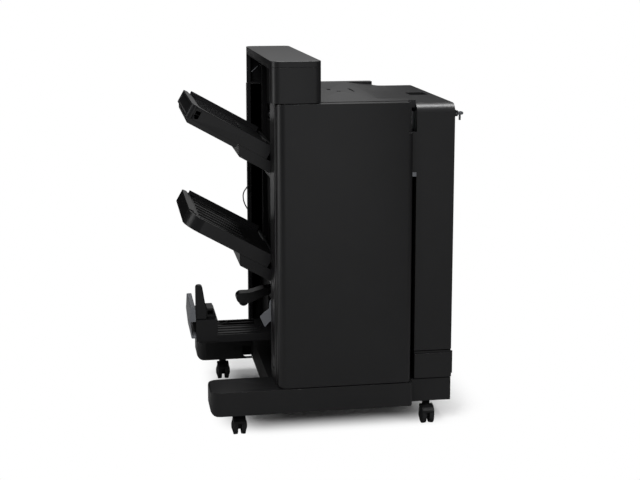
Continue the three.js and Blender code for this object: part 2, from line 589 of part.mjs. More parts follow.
function doorInnerPanel() {
  const wall = door.wall;
  const inset = wall + clearance;
  const x = [door.left + inset + door.backRadius / 2, doorRight - door.gripWidth - inset];
  const y = [door.thickness - door.panelInset - wall, door.thickness - door.panelInset];
  const z = [doorLow + inset, doorHigh - inset];
  const ribs = [];
  for (let i = 1; i <= door.ribCount; i++) {
    const height = z[0] + (i * (z[1] - z[0])) / (door.ribCount + 1);
    ribs.push(block([x[0] + door.leftRadius, x[1] - door.leftRadius], [y[0] - wall, y[0] + wall / 2],
      [height, height + wall]));
  }
  return fuse(block(x, y, z), ...ribs);
}

// Punch unit between the cabinet and the copier
function punchFrontCover() {
  const wall = punch.wall;
  const x = [punchLeft, punchRight];
  const y = [punch.front, punch.front + punch.shellDepth];
  const z = [punch.coverBottom, lowTop];
  const side = outline([[y[0], z[0]], [y[1], z[0]], [y[1], z[1]], [y[0], z[1], punch.topRadius]]);
  const inner = outline([
    [y[0] + wall, z[0] + wall], [y[1] + overrun, z[0] + wall], [y[1] + overrun, z[1] - wall],
    [y[0] + wall, z[1] - wall, punch.topRadius - wall],
  ]);
  const plateX = cabinet.width + 2 * clearance;
  const ear = block([doorRight + punch.earGap, x[0] + wall], [y[0], y[0] + wall],
    [earLow, earHigh]);
  const earReturn = block([plateX, plateX + wall], [y[0], plateFront[1]], [earLow, earHigh]);
  const pivot = [punchRight + latch.pivotInset, latchZ];
  const earSides = [latch.front - clearance - latch.ear, latch.front + latch.width + clearance];
  const lugs = earSides.map((low) => cut(
    block([x[1] - wall / 2, pivot[0] + latch.earHeight / 4], [low, low + latch.ear],
      [latchZ - latch.earHeight / 2, latchZ + latch.earHeight / 2]),
    rod("y", latch.pinRadius + clearance, pivot, [low - overrun, low + latch.ear + overrun]),
  ));
  return fuse(cut(prism("x", side, x), prism("x", inner, [x[0] + wall, x[1] - wall])), ear, earReturn, ...lugs);
}

function punchSideCover() {
  const wall = punch.wall;
  const y = [punch.front + punch.shellDepth + clearance, punchRear];
  const z = [floorTop - overrun + clearance, lowTop - topCover.skin - clearance];
  const side = block([punchRight - wall, punchRight], y, z);
  const back = block([cabinet.width + 2 * clearance, punchRight], [y[1] - wall, y[1]], z);
  const entry = block([punchRight - 2 * wall, punchRight + overrun], [punch.entryFront, entryRear],
    [feedZ, feedZ + punch.entryHeight]);
  return cut(fuse(side, back), entry);
}

function punchBaseCover() {
  const wall = punch.wall;
  const x = [cabinet.width + clearance, punchRight];
  const y = [punch.front, cabinet.depth];
  const z = [base.underside, floorTop - overrun];
  const hollow = block([x[0] - overrun, x[1] - wall], [y[0] + wall, y[1] - wall],
    [z[0] - overrun, z[1] - wall]);
  const lip = [x[0] + 2 * wall, z[1] - wall];
  const notch = block([x[0] - overrun, lip[0]], [y[0] + wall, y[1] - wall], [z[0] - overrun, lip[1]]);
  return cut(block(x, y, z), hollow, notch);
}

function punchHead() {
  const x = [cabinet.width + 2 * clearance, cabinet.width + punch.headLength];
  const y = [punch.headFront, entryRear - punch.headEnd / 2 - overrun];
  const low = feedZ - punch.headDrop;
  const z = [low, low + punch.headHeight];
  const slot = block([x[0] - overrun, x[1] + overrun], [y[0] + punch.headEnd, y[1] - punch.headEnd],
    [feedZ, feedZ + punch.entryHeight]);
  return cut(block(x, y, z), slot);
}

function wasteDrawer() {
  const wall = waste.wall;
  const faceX = [punchLeft, punchRight];
  const face = [punch.front - waste.frontInset, punch.front - waste.frontInset + waste.faceDepth];
  const low = floorTop - overrun + waste.gap;
  const ledge = punch.coverBottom - waste.ledgeDrop;
  const z = [low, ledge - waste.faceDrop];
  const seat = floorTop - overrun + clearance;
  const binZ = [seat, seat + waste.binHeight];
  const bin = [punchLeft + waste.binLeftInset, punchRight - waste.binRightInset];
  const rear = face[0] + waste.binLength;
  const shell = fuse(block(faceX, face, z), block(faceX, [face[0] + waste.ledgeInset, face[1]], [low, ledge]));
  const front = cut(shell, block([faceX[0] + wall, faceX[1] - wall],
    [face[0] + waste.ledgeInset + wall, face[1] + overrun], [low + wall, ledge - wall]));
  const flange = block([faceX[1] - wall, faceX[1] + waste.flangeReach],
    [face[0] + waste.flangeInset, face[0] + waste.flangeInset + wall], [low + waste.flangeInset, ledge - wall]);
  const tub = block(bin, [face[0] + waste.ledgeInset + wall / 2, rear], binZ);
  const hollow = block([bin[0] + wall, bin[1] - wall], [face[0] + waste.ledgeInset + wall, rear - wall],
    [binZ[0] + wall, ledge - wall]);
  return cut(fuse(front, flange, tub), hollow);
}

function dockingLatch() {
  const y = [latch.front, latch.front + latch.width];
  const x = [punchRight + latch.pivotInset - latch.thickness / 2, latchReach];
  const z = [latchZ - latch.thickness / 2, latchZ + latch.thickness / 2];
  const tipX = x[1] - 2 * latch.tipWidth;
  const arm = prism("y", rectangle(x, z, latch.thickness / 2), y);
  const tip = rod("z", latch.tipWidth / 2, [tipX + latch.tipWidth / 2, (y[0] + y[1]) / 2],
    [z[0] - latch.tipDrop, z[1] - overrun], smallSides);
  const pin = rod("y", latch.pinRadius, [punchRight + latch.pivotInset, latchZ],
    [y[0] - latch.ear, y[1] + latch.ear]);
  return fuse(arm, tip, pin);
}

// Twin-wheel caster, drawn about its swivel axis on the floor
function casterFork() {
  const axle = [-caster.trail, caster.wheelRadius];
  const halfWeb = caster.webWidth / 2 - clearance;
  const web = outline([
    [axle[0] - caster.webRadius, axle[1] - caster.webRadius, caster.webRadius],
    [axle[0] + caster.webRadius, axle[1] - caster.webRadius, caster.webRadius],
    [caster.barrelRadius, caster.barrelLow - overrun], [caster.barrelRadius, caster.barrelHigh],
    [-caster.barrelRadius, caster.barrelHigh], [axle[0] - caster.webRadius, caster.barrelLow],
  ]);
  const hoodSpan = [-caster.hoodWidth / 2, caster.hoodWidth / 2];
  const hoodOuter = rod("x", caster.hoodRadius, axle, hoodSpan, wheelSides);
  const across = [hoodSpan[0] - overrun, hoodSpan[1] + overrun];
  const hoodInner = rod("x", caster.hoodRadius - caster.hoodSkin, axle, across, wheelSides);
  const sector = block(across, [axle[0] - caster.hoodRadius * caster.hoodShare, caster.barrelRadius],
    [axle[1] + caster.hoodRadius / 3, caster.barrelHigh]);
  const axleHole = rod("x", caster.axleRadius + clearance, axle, across);
  return fuse(
    cut(prism("x", web, [-halfWeb, halfWeb]), axleHole),
    meet(cut(hoodOuter, hoodInner), sector),
    rod("z", caster.barrelRadius, [0, 0], [caster.barrelLow, caster.barrelHigh]),
    rod("z", caster.stemRadius, [0, 0], [caster.barrelLow, caster.stemTop]),
  );
}

function casterWheels() {
  const inner = caster.webWidth / 2;
  const outer = inner + caster.wheelWidth;
  const crown = (inner + outer) / 2;
  const tread = [crown - caster.rimFlat / 2, crown + caster.rimFlat / 2];
  const profile = [
    [0, outer], [caster.hubRadius, outer], [caster.wheelRadius * caster.faceShare, outer - caster.bulge],
    [caster.wheelRadius - caster.rimLip, tread[1] + caster.rimLip], [caster.wheelRadius, tread[1]],
    [caster.wheelRadius, tread[0]], [caster.wheelRadius - caster.rimLip, inner], [caster.axleRadius, inner],
  ];
  const mirrored = profile.map(([r, a]) => [r, -a]).reverse();
  const points = [...profile, ...mirrored].reverse().map(([r, a]) => new THREE.Vector2(r, a));
  const flat = Math.PI / wheelSides;
  return new THREE.LatheGeometry(points, wheelSides, flat).scale(1 / Math.cos(flat), 1, 1 / Math.cos(flat))
    .rotateZ(Math.PI / 2).translate(0, -caster.trail, caster.wheelRadius);
}

// Tray deck in its own tilted frame: -X up the slope, Z square to the deck, zero at the bay mouth.
// The upper deck carries a shell below it; the near corner of the lower one goes on past the end piece
const cornerReach = tray.cornerRadius + 2 * tray.rim;
const upright = (x, z) => (x - z * Math.sin(tilt)) / Math.cos(tilt); // tilted X of a point at upright X

function deckPlan(length, isWhole, by) {
  const x = [-length + by, tray.machineEnd - by];
  const y = [trayFront + by, trayRear - by];
  const radius = isWhole ? tray.edgeRadius : tray.edgeRadius + by;
  const far = [[x[1], y[0]], [x[1], y[1]], [x[0], y[1], radius]];
  if (isWhole) return outline([[x[0], y[0], radius], ...far]);
  const outer = -length - capReach + by;
  const cornerEnd = trayFront + cornerReach - by;
  return outline([
    [outer, y[0], tray.cornerRadius + tray.rim - by], ...far, [x[0], cornerEnd], [outer, cornerEnd],
  ]);
}

function trayDeck(length, isUpper) {
  const x = [-length, tray.machineEnd];
  const y = [trayFront, trayRear];
  const wall = tray.wall;
  const body = prism("z", deckPlan(length, isUpper, 0), [-tray.thickness, 0]);
  const inside = [y[0] + tray.rim, y[1] - tray.rim];
  const far = [
    [x[1] + overrun, inside[0]], [x[1] + overrun, inside[1]],
    [x[0] + tray.rim, inside[1], tray.cornerRadius / 2],
  ];
  const outer = x[0] - capReach + tray.rim;
  const sinkPlan = isUpper
    ? outline([[x[0] + tray.rim, inside[0], tray.cornerRadius], ...far])
    : outline([
      [outer, inside[0], tray.cornerRadius], ...far, [x[0] + tray.rim, inside[0] + tray.cornerRadius],
      [outer, inside[0] + tray.cornerRadius],
    ]);
  const sink = prism("z", sinkPlan, [-tray.sink, overrun]);
  const hollow = isUpper
    ? block([x[0] + wall, x[1] - wall], [y[0] + wall, y[1] - wall],
      [-tray.thickness - overrun, -tray.sink - tray.floor])
    : prism("z", deckPlan(length, false, wall), [-tray.thickness - overrun, -tray.sink - tray.floor]);
  const slotTop = -tray.tongueDepth + clearance;
  const tongueSlot = block([x[0] - overrun, x[0] + 2 * wall],
    tongueSpan(isUpper).map((side, i) => (i ? side + clearance : side - clearance)),
    [slotTop - tray.tongueSkin - 2 * clearance, slotTop]);
  const ribs = [];
  for (let i = 0; i < tray.ribCount; i++) {
    const middle = y[0] + ((i + 1) * (y[1] - y[0])) / (tray.ribCount + 1);
    ribs.push(block([-tray.ribEnd, -tray.ribStart], [middle - tray.ribWidth / 2, middle + tray.ribWidth / 2],
      [-tray.sink - tray.floor / 2, -tray.sink + tray.ribHeight]));
  }
  const fence = block([x[0] + tray.edgeRadius, x[1]], [y[1] - wall, y[1]], [-overrun, tray.railHeight]);
  const parts = [cut(body, sink, hollow), fence, ...ribs];
  const cuts = [tongueSlot];
  if (isUpper) {
    const low = -tray.thickness - tray.shellDrop;
    const under = -tray.thickness - clearance;
    const shellY = [y[0] + tray.shellInset, y[1] - tray.shellInset];
    const shell = outline([
      [-tray.shellStart, -tray.thickness + wall], [x[0], -tray.thickness + wall], [x[0], under],
      [upright(-tray.shellReach, under), under], [upright(-tray.shellReach, low), low], [-tray.shellStart, low],
    ]);
    parts.push(cut(prism("y", shell, shellY), block([x[0] + wall, -tray.shellStart - wall],
      [shellY[0] + wall, shellY[1] - wall], [low + wall, overrun - tray.thickness + wall])));
    const notchEnd = x[0] - overrun;
    const notch = outline([
      [-tray.notchStart, -tray.sink], [notchEnd, -tray.ribHeight], [notchEnd, -tray.thickness / 2],
      [-tray.notchStart - tray.rim, -tray.thickness + wall], [-tray.notchStart, -tray.thickness + tray.rim],
    ]);
    cuts.push(prism("y", notch, [y[0] - overrun, y[0] + wall]));
  }
  return cut(fuse(...parts), ...cuts);
}

// The end piece is as wide as the upper deck, and stops short of the lower deck's near corner
function capFront(isUpper) {
  return isUpper ? trayFront : trayFront + cornerReach + tray.capGap;
}

function tongueSpan(isUpper) {
  return [capFront(isUpper) + tray.tongueInset, trayRear - tray.tongueInset];
}

function trayExtension(length, isUpper) {
  const x = [-length - capReach, -length - clearance];
  const y = [capFront(isUpper), trayRear];
  const cap = prism("z", outline([
    [x[0], y[0], isUpper ? tray.capRadius : 0], [x[1], y[0]], [x[1], y[1]], [x[0], y[1], tray.capRadius],
  ]), [-tray.thickness, tray.capLip]);
  const tongue = block([x[1] - overrun, -length + tray.tongueReach], tongueSpan(isUpper),
    [-tray.tongueDepth - tray.tongueSkin, -tray.tongueDepth]);
  if (!isUpper) return fuse(cap, tongue);
  const border = tray.capRadius + tray.panelBorder;
  const panel = block([x[0] - overrun, x[0] + tray.panelSink], [y[0] + border, y[1] - border],
    [-tray.thickness + tray.panelBorder / 2, -tray.panelBorder / 2]);
  return fuse(cut(cap, panel), tongue);
}

// Carriage in upright axes at the tray's own height: a bracket whose left end stands upright
function trayCarriage() {
  const y = [trayFront, trayRear];
  const wall = carriage.wall;
  const top = -tray.thickness - clearance;
  const reach = carriage.drop;
  const side = (by, high) => outline([
    [upright(by - carriage.reach, by - carriage.drop), by - carriage.drop, carriage.cornerRadius],
    [reach + by, by - carriage.drop], [reach + by, high], [upright(by - carriage.reach, high), high],
  ]);
  const channel = cut(prism("y", side(0, top), y),
    prism("y", side(wall, top + overrun), [y[0] + wall, y[1] - wall]));
  const matrix = new THREE.Matrix4().makeRotationY(tilt).elements;
  const plateX = [carriage.plateX, carriage.plateX + carriage.plateSkin];
  const plateY = [y[0] + carriage.sideInset, y[1] - carriage.sideInset];
  const keep = block([-2 * carriage.drop, plateX[1]], [y[0] - overrun, y[1] + overrun],
    [-2 * carriage.drop, carriage.drop]);
  const parts = [
    meet(channel.transform(matrix), keep),
    block(plateX, plateY, [-carriage.plateLow, -carriage.plateHigh]),
  ];
  for (const low of railPlaces) {
    for (const shoe of [low - clearance - carriage.shoeWidth, low + rail.width + clearance]) {
      parts.push(block([plateX[1] - overrun, plateX[1] + carriage.shoeReach], [shoe, shoe + carriage.shoeWidth],
        [-carriage.shoeLow, -carriage.shoeHigh]));
    }
  }
  return fuse(...parts);
}

function trayRail(low) {
  const x = [cabinet.bayDepth - clearance - rail.depth, cabinet.bayDepth - clearance];
  return block(x, [low, low + rail.width], [rail.low, tower.top - rail.topDrop]);
}

// Booklet tray: a low deck out of the bay, a sliding stopper with its post, and a pressing arm
function bookletDeck() {
  const wall = booklet.wall;
  const x = [-booklet.reach, cabinet.bayDepth - clearance];
  const y = [booklet.front, booklet.front + booklet.width];
  const z = [booklet.deckBottom, booklet.deckTop];
  const hollow = block([x[0] + wall, x[1] - wall], [y[0] + wall, y[1] - wall],
    [z[0] - overrun, z[1] - booklet.skin]);
  const ribs = [];
  const pitch = booklet.width / booklet.ribCount;
  for (let i = 0; i < booklet.ribCount; i++) {
    const middle = y[0] + (i + 1 / 2) * pitch;
    const across = [middle - booklet.ribWidth / 2, middle + booklet.ribWidth / 2];
    ribs.push(block([-booklet.ribEnd, -booklet.ribStart], across, [z[1] - overrun, z[1] + booklet.ribHeight]));
  }
  const slots = [];
  for (let i = 0; i < booklet.slotCount; i++) {
    const low = booklet.slotY + i * booklet.slotPitch;
    slots.push(block([-booklet.slotX, -booklet.slotX + booklet.slotLength], [low, low + booklet.slotWidth],
      [z[1] - 2 * booklet.skin, z[1] + overrun + booklet.ribHeight]));
  }
  return cut(fuse(cut(block(x, y, z), hollow), ...ribs), ...slots);
}

function bookletStopper() {
  const wall = stopper.wall;
  const rear = booklet.front + booklet.width;
  const x = [-stopper.left, -stopper.right];
  const y = [booklet.front - stopper.side, rear + stopper.side];
  const z = [stopper.skirt, stopper.top];
  const saddle = block([x[0] + wall, x[1] + overrun], [booklet.front - clearance, rear + clearance],
    [z[0] - overrun, booklet.deckTop + booklet.ribHeight + clearance]);
  const hollow = block([x[0] + wall, x[1] - wall], [y[0] + wall, y[1] - wall], [z[0] - overrun, z[1] - wall]);
  const flapX = x[0] - stopper.flapReach;
  const flap = prism("y", outline([
    [x[0] + overrun, stopper.flapLow], [x[0] + overrun, stopper.flapLow + 2 * wall],
    [flapX + stopper.flapBow + stopper.flapSkin, stopper.flapLow + 2 * wall],
    [flapX + stopper.flapSkin, stopper.flapMiddle], [x[0] + overrun, z[1] - wall], [x[0] + overrun, z[1]],
    [x[0] - clearance, z[1]], [x[0] - overrun, stopper.flapTop, stopper.flapSkin / 2],
    [flapX + stopper.flapSkin, stopper.flapTop, stopper.flapSkin], [flapX, stopper.flapMiddle],
    [flapX + stopper.flapBow, stopper.flapLow, stopper.flapSkin],
  ]), y);
  const humpX = [-stopper.humpLeft, -stopper.humpRight];
  const humpY = [stopper.humpFront, stopper.humpFront + stopper.humpWidth];
  const humpShape = outline([
    [humpX[0], z[1] - wall], [humpX[1] + wall, z[1] - wall],
    [humpX[1] - wall, stopper.humpTop, wall], [humpX[0], stopper.humpTop, wall],
  ]);
  const eye = block([humpX[0] + wall, humpX[0] + wall + stopper.holeWidth],
    [humpY[0] - overrun, humpY[0] + stopper.humpWidth / 2],
    [z[1] + stopper.holeLift, z[1] + stopper.holeLift + stopper.holeHeight]);
  const hump = cut(prism("y", humpShape, humpY), eye);
  return fuse(cut(block(x, y, z), saddle, hollow), flap, hump);
}

function stopperPost() {
  const y = [post.front, post.front + post.width];
  const shape = outline([
    [-post.left, stopper.top + clearance], [-post.baseRight - clearance, stopper.top + clearance],
    [-post.baseRight - clearance, stopper.humpTop], [-post.topRight, post.top, post.tipRadius],
    [-post.left, post.top, post.tipRadius],
  ]);
  return prism("y", shape, y);
}

const rollerAxle = [-pressArm.rollerX, pressArm.rollerZ];

function pressArmPiece() {
  const y = [pressArm.front, pressArm.front + pressArm.width];
  const half = pressArm.height / 2;
  const boss = pressArm.lugHeight / 2;
  const tip = [-pressArm.tipX - half, pressArm.tipZ];
  const shape = outline([
    [tip[0], tip[1] - half, half], [-pressArm.bendX, tip[1] - half, half],
    [pressArm.pivotX + boss / 2, pressArm.pivotZ - 2 * boss, boss],
    [pressArm.pivotX + boss, pressArm.pivotZ + boss, boss],
    [pressArm.pivotX - half, pressArm.pivotZ + boss, half / 2], [-pressArm.bendX, tip[1] + half, half],
    [tip[0], tip[1] + half, half],
  ]);
  const cheeks = [y[0] + pressArm.cheek, y[1] - pressArm.cheek];
  const bay = rod("y", pressArm.rollerRadius + 2 * clearance, rollerAxle, cheeks);
  const axleHole = rod("y", pressArm.axleRadius + clearance, rollerAxle, [y[0] - overrun, y[1] + overrun]);
  const pin = rod("y", pressArm.pinRadius, pressPivot,
    [y[0] - pressArm.pinReach, y[1] + pressArm.pinReach]);
  return fuse(cut(prism("y", shape, y), bay, axleHole), pin);
}

function pressRoller() {
  const y = [pressArm.front, pressArm.front + pressArm.width];
  const width = [y[0] + pressArm.cheek + clearance, y[1] - pressArm.cheek - clearance];
  return fuse(rod("y", pressArm.rollerRadius, rollerAxle, width), rod("y", pressArm.axleRadius, rollerAxle, y));
}

// Light side guide beside the booklet exit, hung from the column
function exitSideGuide() {
  const y = [cabinet.bayFront + clearance, cabinet.bayFront + clearance + sideGuide.skin];
  const plate = outline(sideGuideShares.map(([along, up]) => [
    -sideGuide.left + along * (sideGuide.left + sideGuide.right),
    sideGuide.low + up * (sideGuide.high - sideGuide.low),
    along < 1 ? sideGuide.edge : 0,
  ]));
  return prism("y", plate, y);
}

// Rollers between the side plates
function sleeveRoller(size, centre, [from, to], extra = []) {
  const shaft = rod("y", size.shaftRadius, centre, [plateFront[0] - overrun, plateRear[1] + overrun]);
  const bars = [shaft, ...extra];
  for (let i = 0; i < size.count; i++) {
    const middle = from + ((i + 1) * (to - from)) / (size.count + 1);
    bars.push(rod("y", size.radius, centre, [middle - size.sleeve / 2, middle + size.sleeve / 2]));
  }
  return fuse(...bars);
}

function plainRoller(height) {
  const centre = [foldRoller.x, height];
  return fuse(
    rod("y", foldRoller.shaftRadius, centre, [plateFront[0] - overrun, plateRear[1] + overrun]),
    rod("y", foldRoller.radius, centre, [plateFront[1] + foldRoller.radius, plateRear[0] - foldRoller.radius]),
  );
}

const pulleyRear = rearPlate - motor.pulleyGap;
const pulleyY = [pulleyRear - motor.pulleyWidth, pulleyRear];
const betweenPlates = [frontPlateBack, rearPlate];
const exitSpan = [exitSlot.front, exitSlot.rear];

function entryDrive() {
  const centre = [entryX, feedZ];
  return sleeveRoller(entryRoller, centre, betweenPlates, [rod("y", motor.pulleyRadius, centre, pulleyY)]);
}

function entryIdler() {
  const centre = [entryX, feedZ + 2 * entryRoller.radius + clearance];
  return sleeveRoller(entryRoller, centre, betweenPlates);
}

function jamKnob() {
  const centre = [entryX, feedZ];
  const y = [knob.back - knob.length, knob.back];
  const ribs = [];
  for (let i = 0; i < knob.ribs; i++) {
    const angle = (2 * Math.PI * i) / knob.ribs;
    const place = [centre[0] + knob.radius * Math.cos(angle), centre[1] + knob.radius * Math.sin(angle)];
    ribs.push(rod("y", knob.ribRadius, place, y, knob.ribSides));
  }
  const collar = rod("y", entryRoller.shaftRadius, centre,
    [y[1] - overrun, plateFront[0] - overrun - clearance]);
  return fuse(rod("y", knob.radius, centre, y), collar, ...ribs);
}

function staplerRod() {
  return rod("y", stapler.rodRadius, [staplerX, staplerZ], [plateFront[0] - overrun, plateRear[1] + overrun]);
}

function staplerCarriage() {
  const x = [staplerX - stapler.length / 2, staplerX + stapler.length / 2];
  const y = [stapler.front, stapler.front + stapler.width];
  const z = [staplerZ - stapler.height / 4, staplerZ + (3 * stapler.height) / 4];
  const jawZ = staplerZ + stapler.jawLift;
  const through = [y[0] - overrun, y[1] + overrun];
  const jaw = block([x[0] - overrun, x[0] + stapler.jawDepth], through, [jawZ, jawZ + stapler.jawGap]);
  const bore = rod("y", stapler.rodRadius + clearance, [staplerX, staplerZ], through);
  return cut(block(x, y, z), jaw, bore);
}

function processTray() {
  const lowX = staplerX - process.lowInset;
  const lowZ = feedZ - process.lowDrop;
  const highZ = feedZ - process.highDrop;
  const across = new THREE.Vector2(highZ - lowZ, lowX - process.highX);
  const normal = across.normalize().multiplyScalar(process.skin);
  const shape = outline([
    [lowX, lowZ], [process.highX, highZ],
    [process.highX + normal.x, highZ + normal.y], [lowX + normal.x, lowZ + normal.y],
    [lowX + process.lip + normal.x, lowZ + process.lip], [lowX + process.lip, lowZ],
  ]);
  return prism("y", shape, [plateFront[1] + clearance, plateRear[0] - clearance]);
}

function driveMotor() {
  const centre = [motorX, motorZ];
  const y = [plateRear[1] + clearance, plateRear[1] + clearance + motor.length];
  const bore = rod("y", motor.shaftRadius + clearance, centre, [y[0] - overrun, y[0] + motor.length / 2]);
  return cut(rod("y", motor.radius, centre, y), bore);
}

function motorPulley() {
  const centre = [motorX, motorZ];
  return fuse(rod("y", motor.pulleyRadius, centre, pulleyY),
    rod("y", motor.shaftRadius, centre, [pulleyY[1] - overrun, plateRear[1] + motor.length / 2 - overrun]));
}

function driveBelt() {
  const from = new THREE.Vector2(motorX, motorZ);
  const to = new THREE.Vector2(entryX, feedZ);
  const length = from.distanceTo(to);
  const angle = Math.atan2(to.y - from.y, to.x - from.x);
  const loop = (radius, low, high) => {
    const shape = rectangle([-radius, length + radius], [-radius, radius], radius);
    return prism("y", shape, [low, high]).rotateY(-angle).translate(from.x, 0, from.y);
  };
  const inner = motor.pulleyRadius + clearance;
  const y = [pulleyY[0] + motor.beltInset, pulleyY[1] - motor.beltInset];
  return cut(loop(inner + motor.beltSkin, y[0], y[1]), loop(inner, y[0] - overrun, y[1] + overrun));
}

function controlBoard() {
  const y = [plateRear[1] + clearance, plateRear[1] + clearance + board.skin];
  const x = [board.left, board.left + board.length];
  const parts = [block(x, y, [boardLow, boardLow + board.height])];
  for (let i = 0; i < board.chipCount; i++) {
    const left = x[0] + board.chipSize / 2 + i * board.chipPitch;
    const low = boardLow + board.chipSize;
    parts.push(block([left, left + board.chipSize], [y[1] - board.skin / 2, y[1] + board.chipHeight],
      [low, low + board.chipSize]));
  }
  return fuse(...parts);
}

function doorStriker() {
  const x = [cabinet.width + 2 * clearance, cabinet.width + 2 * clearance + striker.skin];
  const y = [punch.front, plateFront[1] + striker.depth];
  const z = [earLow - striker.height, earLow - clearance];
  const tab = block([doorRight + punch.earGap, punchLeft - clearance], [y[0], y[0] + striker.skin], z);
  return fuse(block(x, y, z), tab);
}

function releaseLever() {
  const y = [release.front, release.front + release.skin];
  const x = [release.x - release.width / 2, release.x + release.width / 2];
  const end = releaseZ + release.length;
  const arm = rectangle(x, [releaseZ - release.width / 2, end], release.width / 3);
  const grip = block(x, [y[0] - release.grip, y[0] + overrun], [end - 2 * release.grip, end - release.grip]);
  const pivot = [release.x, releaseZ];
  const hub = rod("y", 2 * release.pivotRadius, pivot, [y[1] - overrun, plateFront[0] - clearance]);
  const pin = rod("y", release.pivotRadius, pivot, [y[1] - overrun, plateFront[1] + overrun]);
  return fuse(prism("y", arm, y), grip, hub, pin);
}

function sensorFlag() {
  const y = [flagY - flag.width / 2, flagY + flag.width / 2];
  const reach = new THREE.Vector2(...flagPivot).sub(new THREE.Vector2(...flagTip));
  const [pivotX, pivotZ] = flagPivot;
  const wire = rod("x", flag.rodRadius, [flagY, 0], [-reach.length(), 0], smallSides);
  wire.rotateY(-reach.angle()).translate(pivotX, 0, pivotZ);
  const pin = rod("y", flag.pinRadius, flagPivot, [y[0] - flag.pinReach, y[1] + flag.pinReach], smallSides);
  return fuse(wire, rod("y", flag.barrelRadius, flagPivot, y, smallSides), pin);
}

// Assembly: everything is drawn from the door's left edge and front face, then centred over the floor
const finisher = new THREE.Group();
piece(finisher, "base_frame", baseFrame(), steel);
piece(finisher, "front_leg_cover", legCover(true), shellBlack);
piece(finisher, "rear_leg_cover", legCover(false), shellBlack);
piece(finisher, "front_side_plate", sidePlate(true), steel);
piece(finisher, "rear_side_plate", sidePlate(false), steel);
piece(finisher, "right_side_plate", rightSidePlate(), steel);
piece(finisher, "bay_back_panel", bayBackPanel(), innerBlack);
piece(finisher, "front_column_cover", frontColumnCover(), trimBlack);
piece(finisher, "rear_cover", rearCover(), shellBlack);
piece(finisher, "interface_cable", interfaceCable(), rubber);
piece(finisher, "tower_housing", towerHousing(), shellBlack);
piece(finisher, "tower_lid", towerLid(), shellBlack);
piece(finisher, "top_front_trim", topFrontTrim(), shellBlack);
piece(finisher, "top_cover", jamCover(), shellBlack);
piece(finisher, "front_door", frontDoor(), shellBlack);
piece(finisher, "door_inner_panel", doorInnerPanel(), trimBlack);
piece(finisher, "punch_front_cover", punchFrontCover(), shellBlack);
piece(finisher, "punch_side_cover", punchSideCover(), shellBlack);
piece(finisher, "punch_base_cover", punchBaseCover(), shellBlack);
piece(finisher, "punch_head", punchHead(), steel);
piece(finisher, "hole_waste_drawer", wasteDrawer(), shellBlack);
piece(finisher, "docking_latch", dockingLatch(), trimBlack);
piece(finisher, "door_striker", doorStriker(), steel);
const [frontRailY, rearRailY] = railPlaces;
piece(finisher, "tray_rail_front", trayRail(frontRailY), steel);
piece(finisher, "tray_rail_rear", trayRail(rearRailY), steel);
piece(finisher, "booklet_tray_deck", bookletDeck(), trayBlack);
piece(finisher, "booklet_stopper", bookletStopper(), trayBlack);
piece(finisher, "stopper_post", stopperPost(), trayBlack);
piece(finisher, "press_arm", pressArmPiece(), trayBlack);
piece(finisher, "press_roller", pressRoller(), rubber);
piece(finisher, "exit_side_guide", exitSideGuide(), greyPlastic);
piece(finisher, "entry_drive_roller", entryDrive(), rubber);
piece(finisher, "entry_idler_roller", entryIdler(), rubber);
piece(finisher, "jam_knob", jamKnob(), greenPlastic);
const deliveryAxle = [deliveryRoller.x, feedZ];
piece(finisher, "delivery_roller", sleeveRoller(deliveryRoller, deliveryAxle, exitSpan), rubber);
piece(finisher, "fold_roller_lower", plainRoller(foldRoller.z), rubber);
piece(finisher, "fold_roller_upper", plainRoller(foldRoller.z + 2 * foldRoller.radius + clearance), rubber);
piece(finisher, "process_tray", processTray(), steel);
piece(finisher, "stapler_guide_rod", staplerRod(), steel);
piece(finisher, "stapler_carriage", staplerCarriage(), greyPlastic);
piece(finisher, "drive_motor", driveMotor(), steel);
piece(finisher, "motor_pulley", motorPulley(), steel);
piece(finisher, "drive_belt", driveBelt(), rubber);
piece(finisher, "control_board", controlBoard(), boardGreen);
piece(finisher, "jam_release_lever", releaseLever(), greenPlastic);
piece(finisher, "stack_sensor_flag", sensorFlag(), steel);

const trays = [
  { name: "upper", height: upperTrayZ, length: tray.upperLength, isUpper: true },
  { name: "lower", height: tray.lowerHeight, length: tray.lowerLength, isUpper: false },
];
for (const { name, height, length, isUpper } of trays) {
  const lift = new THREE.Group();
  lift.position.z = height;
  const slope = new THREE.Group();
  slope.rotation.y = tilt;
  piece(slope, `${name}_tray_deck`, trayDeck(length, isUpper), trayBlack);
  piece(slope, `${name}_tray_extension`, trayExtension(length, isUpper), trayBlack);
  piece(lift, `${name}_tray_carriage`, trayCarriage(), trimBlack);
  lift.add(slope);
  finisher.add(lift);
}

for (const [sideName, x] of [["left", caster.leftX], ["right", casterRight]]) {
  for (const [endName, y] of [["front", caster.frontY], ["rear", casterRear]]) {
    const foot = new THREE.Group();
    foot.position.set(x, y, 0);
    piece(foot, `caster_fork_${endName}_${sideName}`, casterFork(), trimBlack);
    piece(foot, `caster_wheels_${endName}_${sideName}`, casterWheels(), rubber);
    finisher.add(foot);
  }
}

// The longer tray's raised end sets the left limit, the docking latch the right one
const longest = Math.max(tray.upperLength, tray.lowerLength) + capReach;
const trayLimit = -longest * Math.cos(tilt) - tray.thickness * Math.sin(tilt);
finisher.position.set(-(trayLimit + latchReach) / 2, -cabinet.depth / 2, 0);

export default finisher;
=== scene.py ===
import json
import math

import bmesh
import bpy
from mathutils import Matrix, Vector

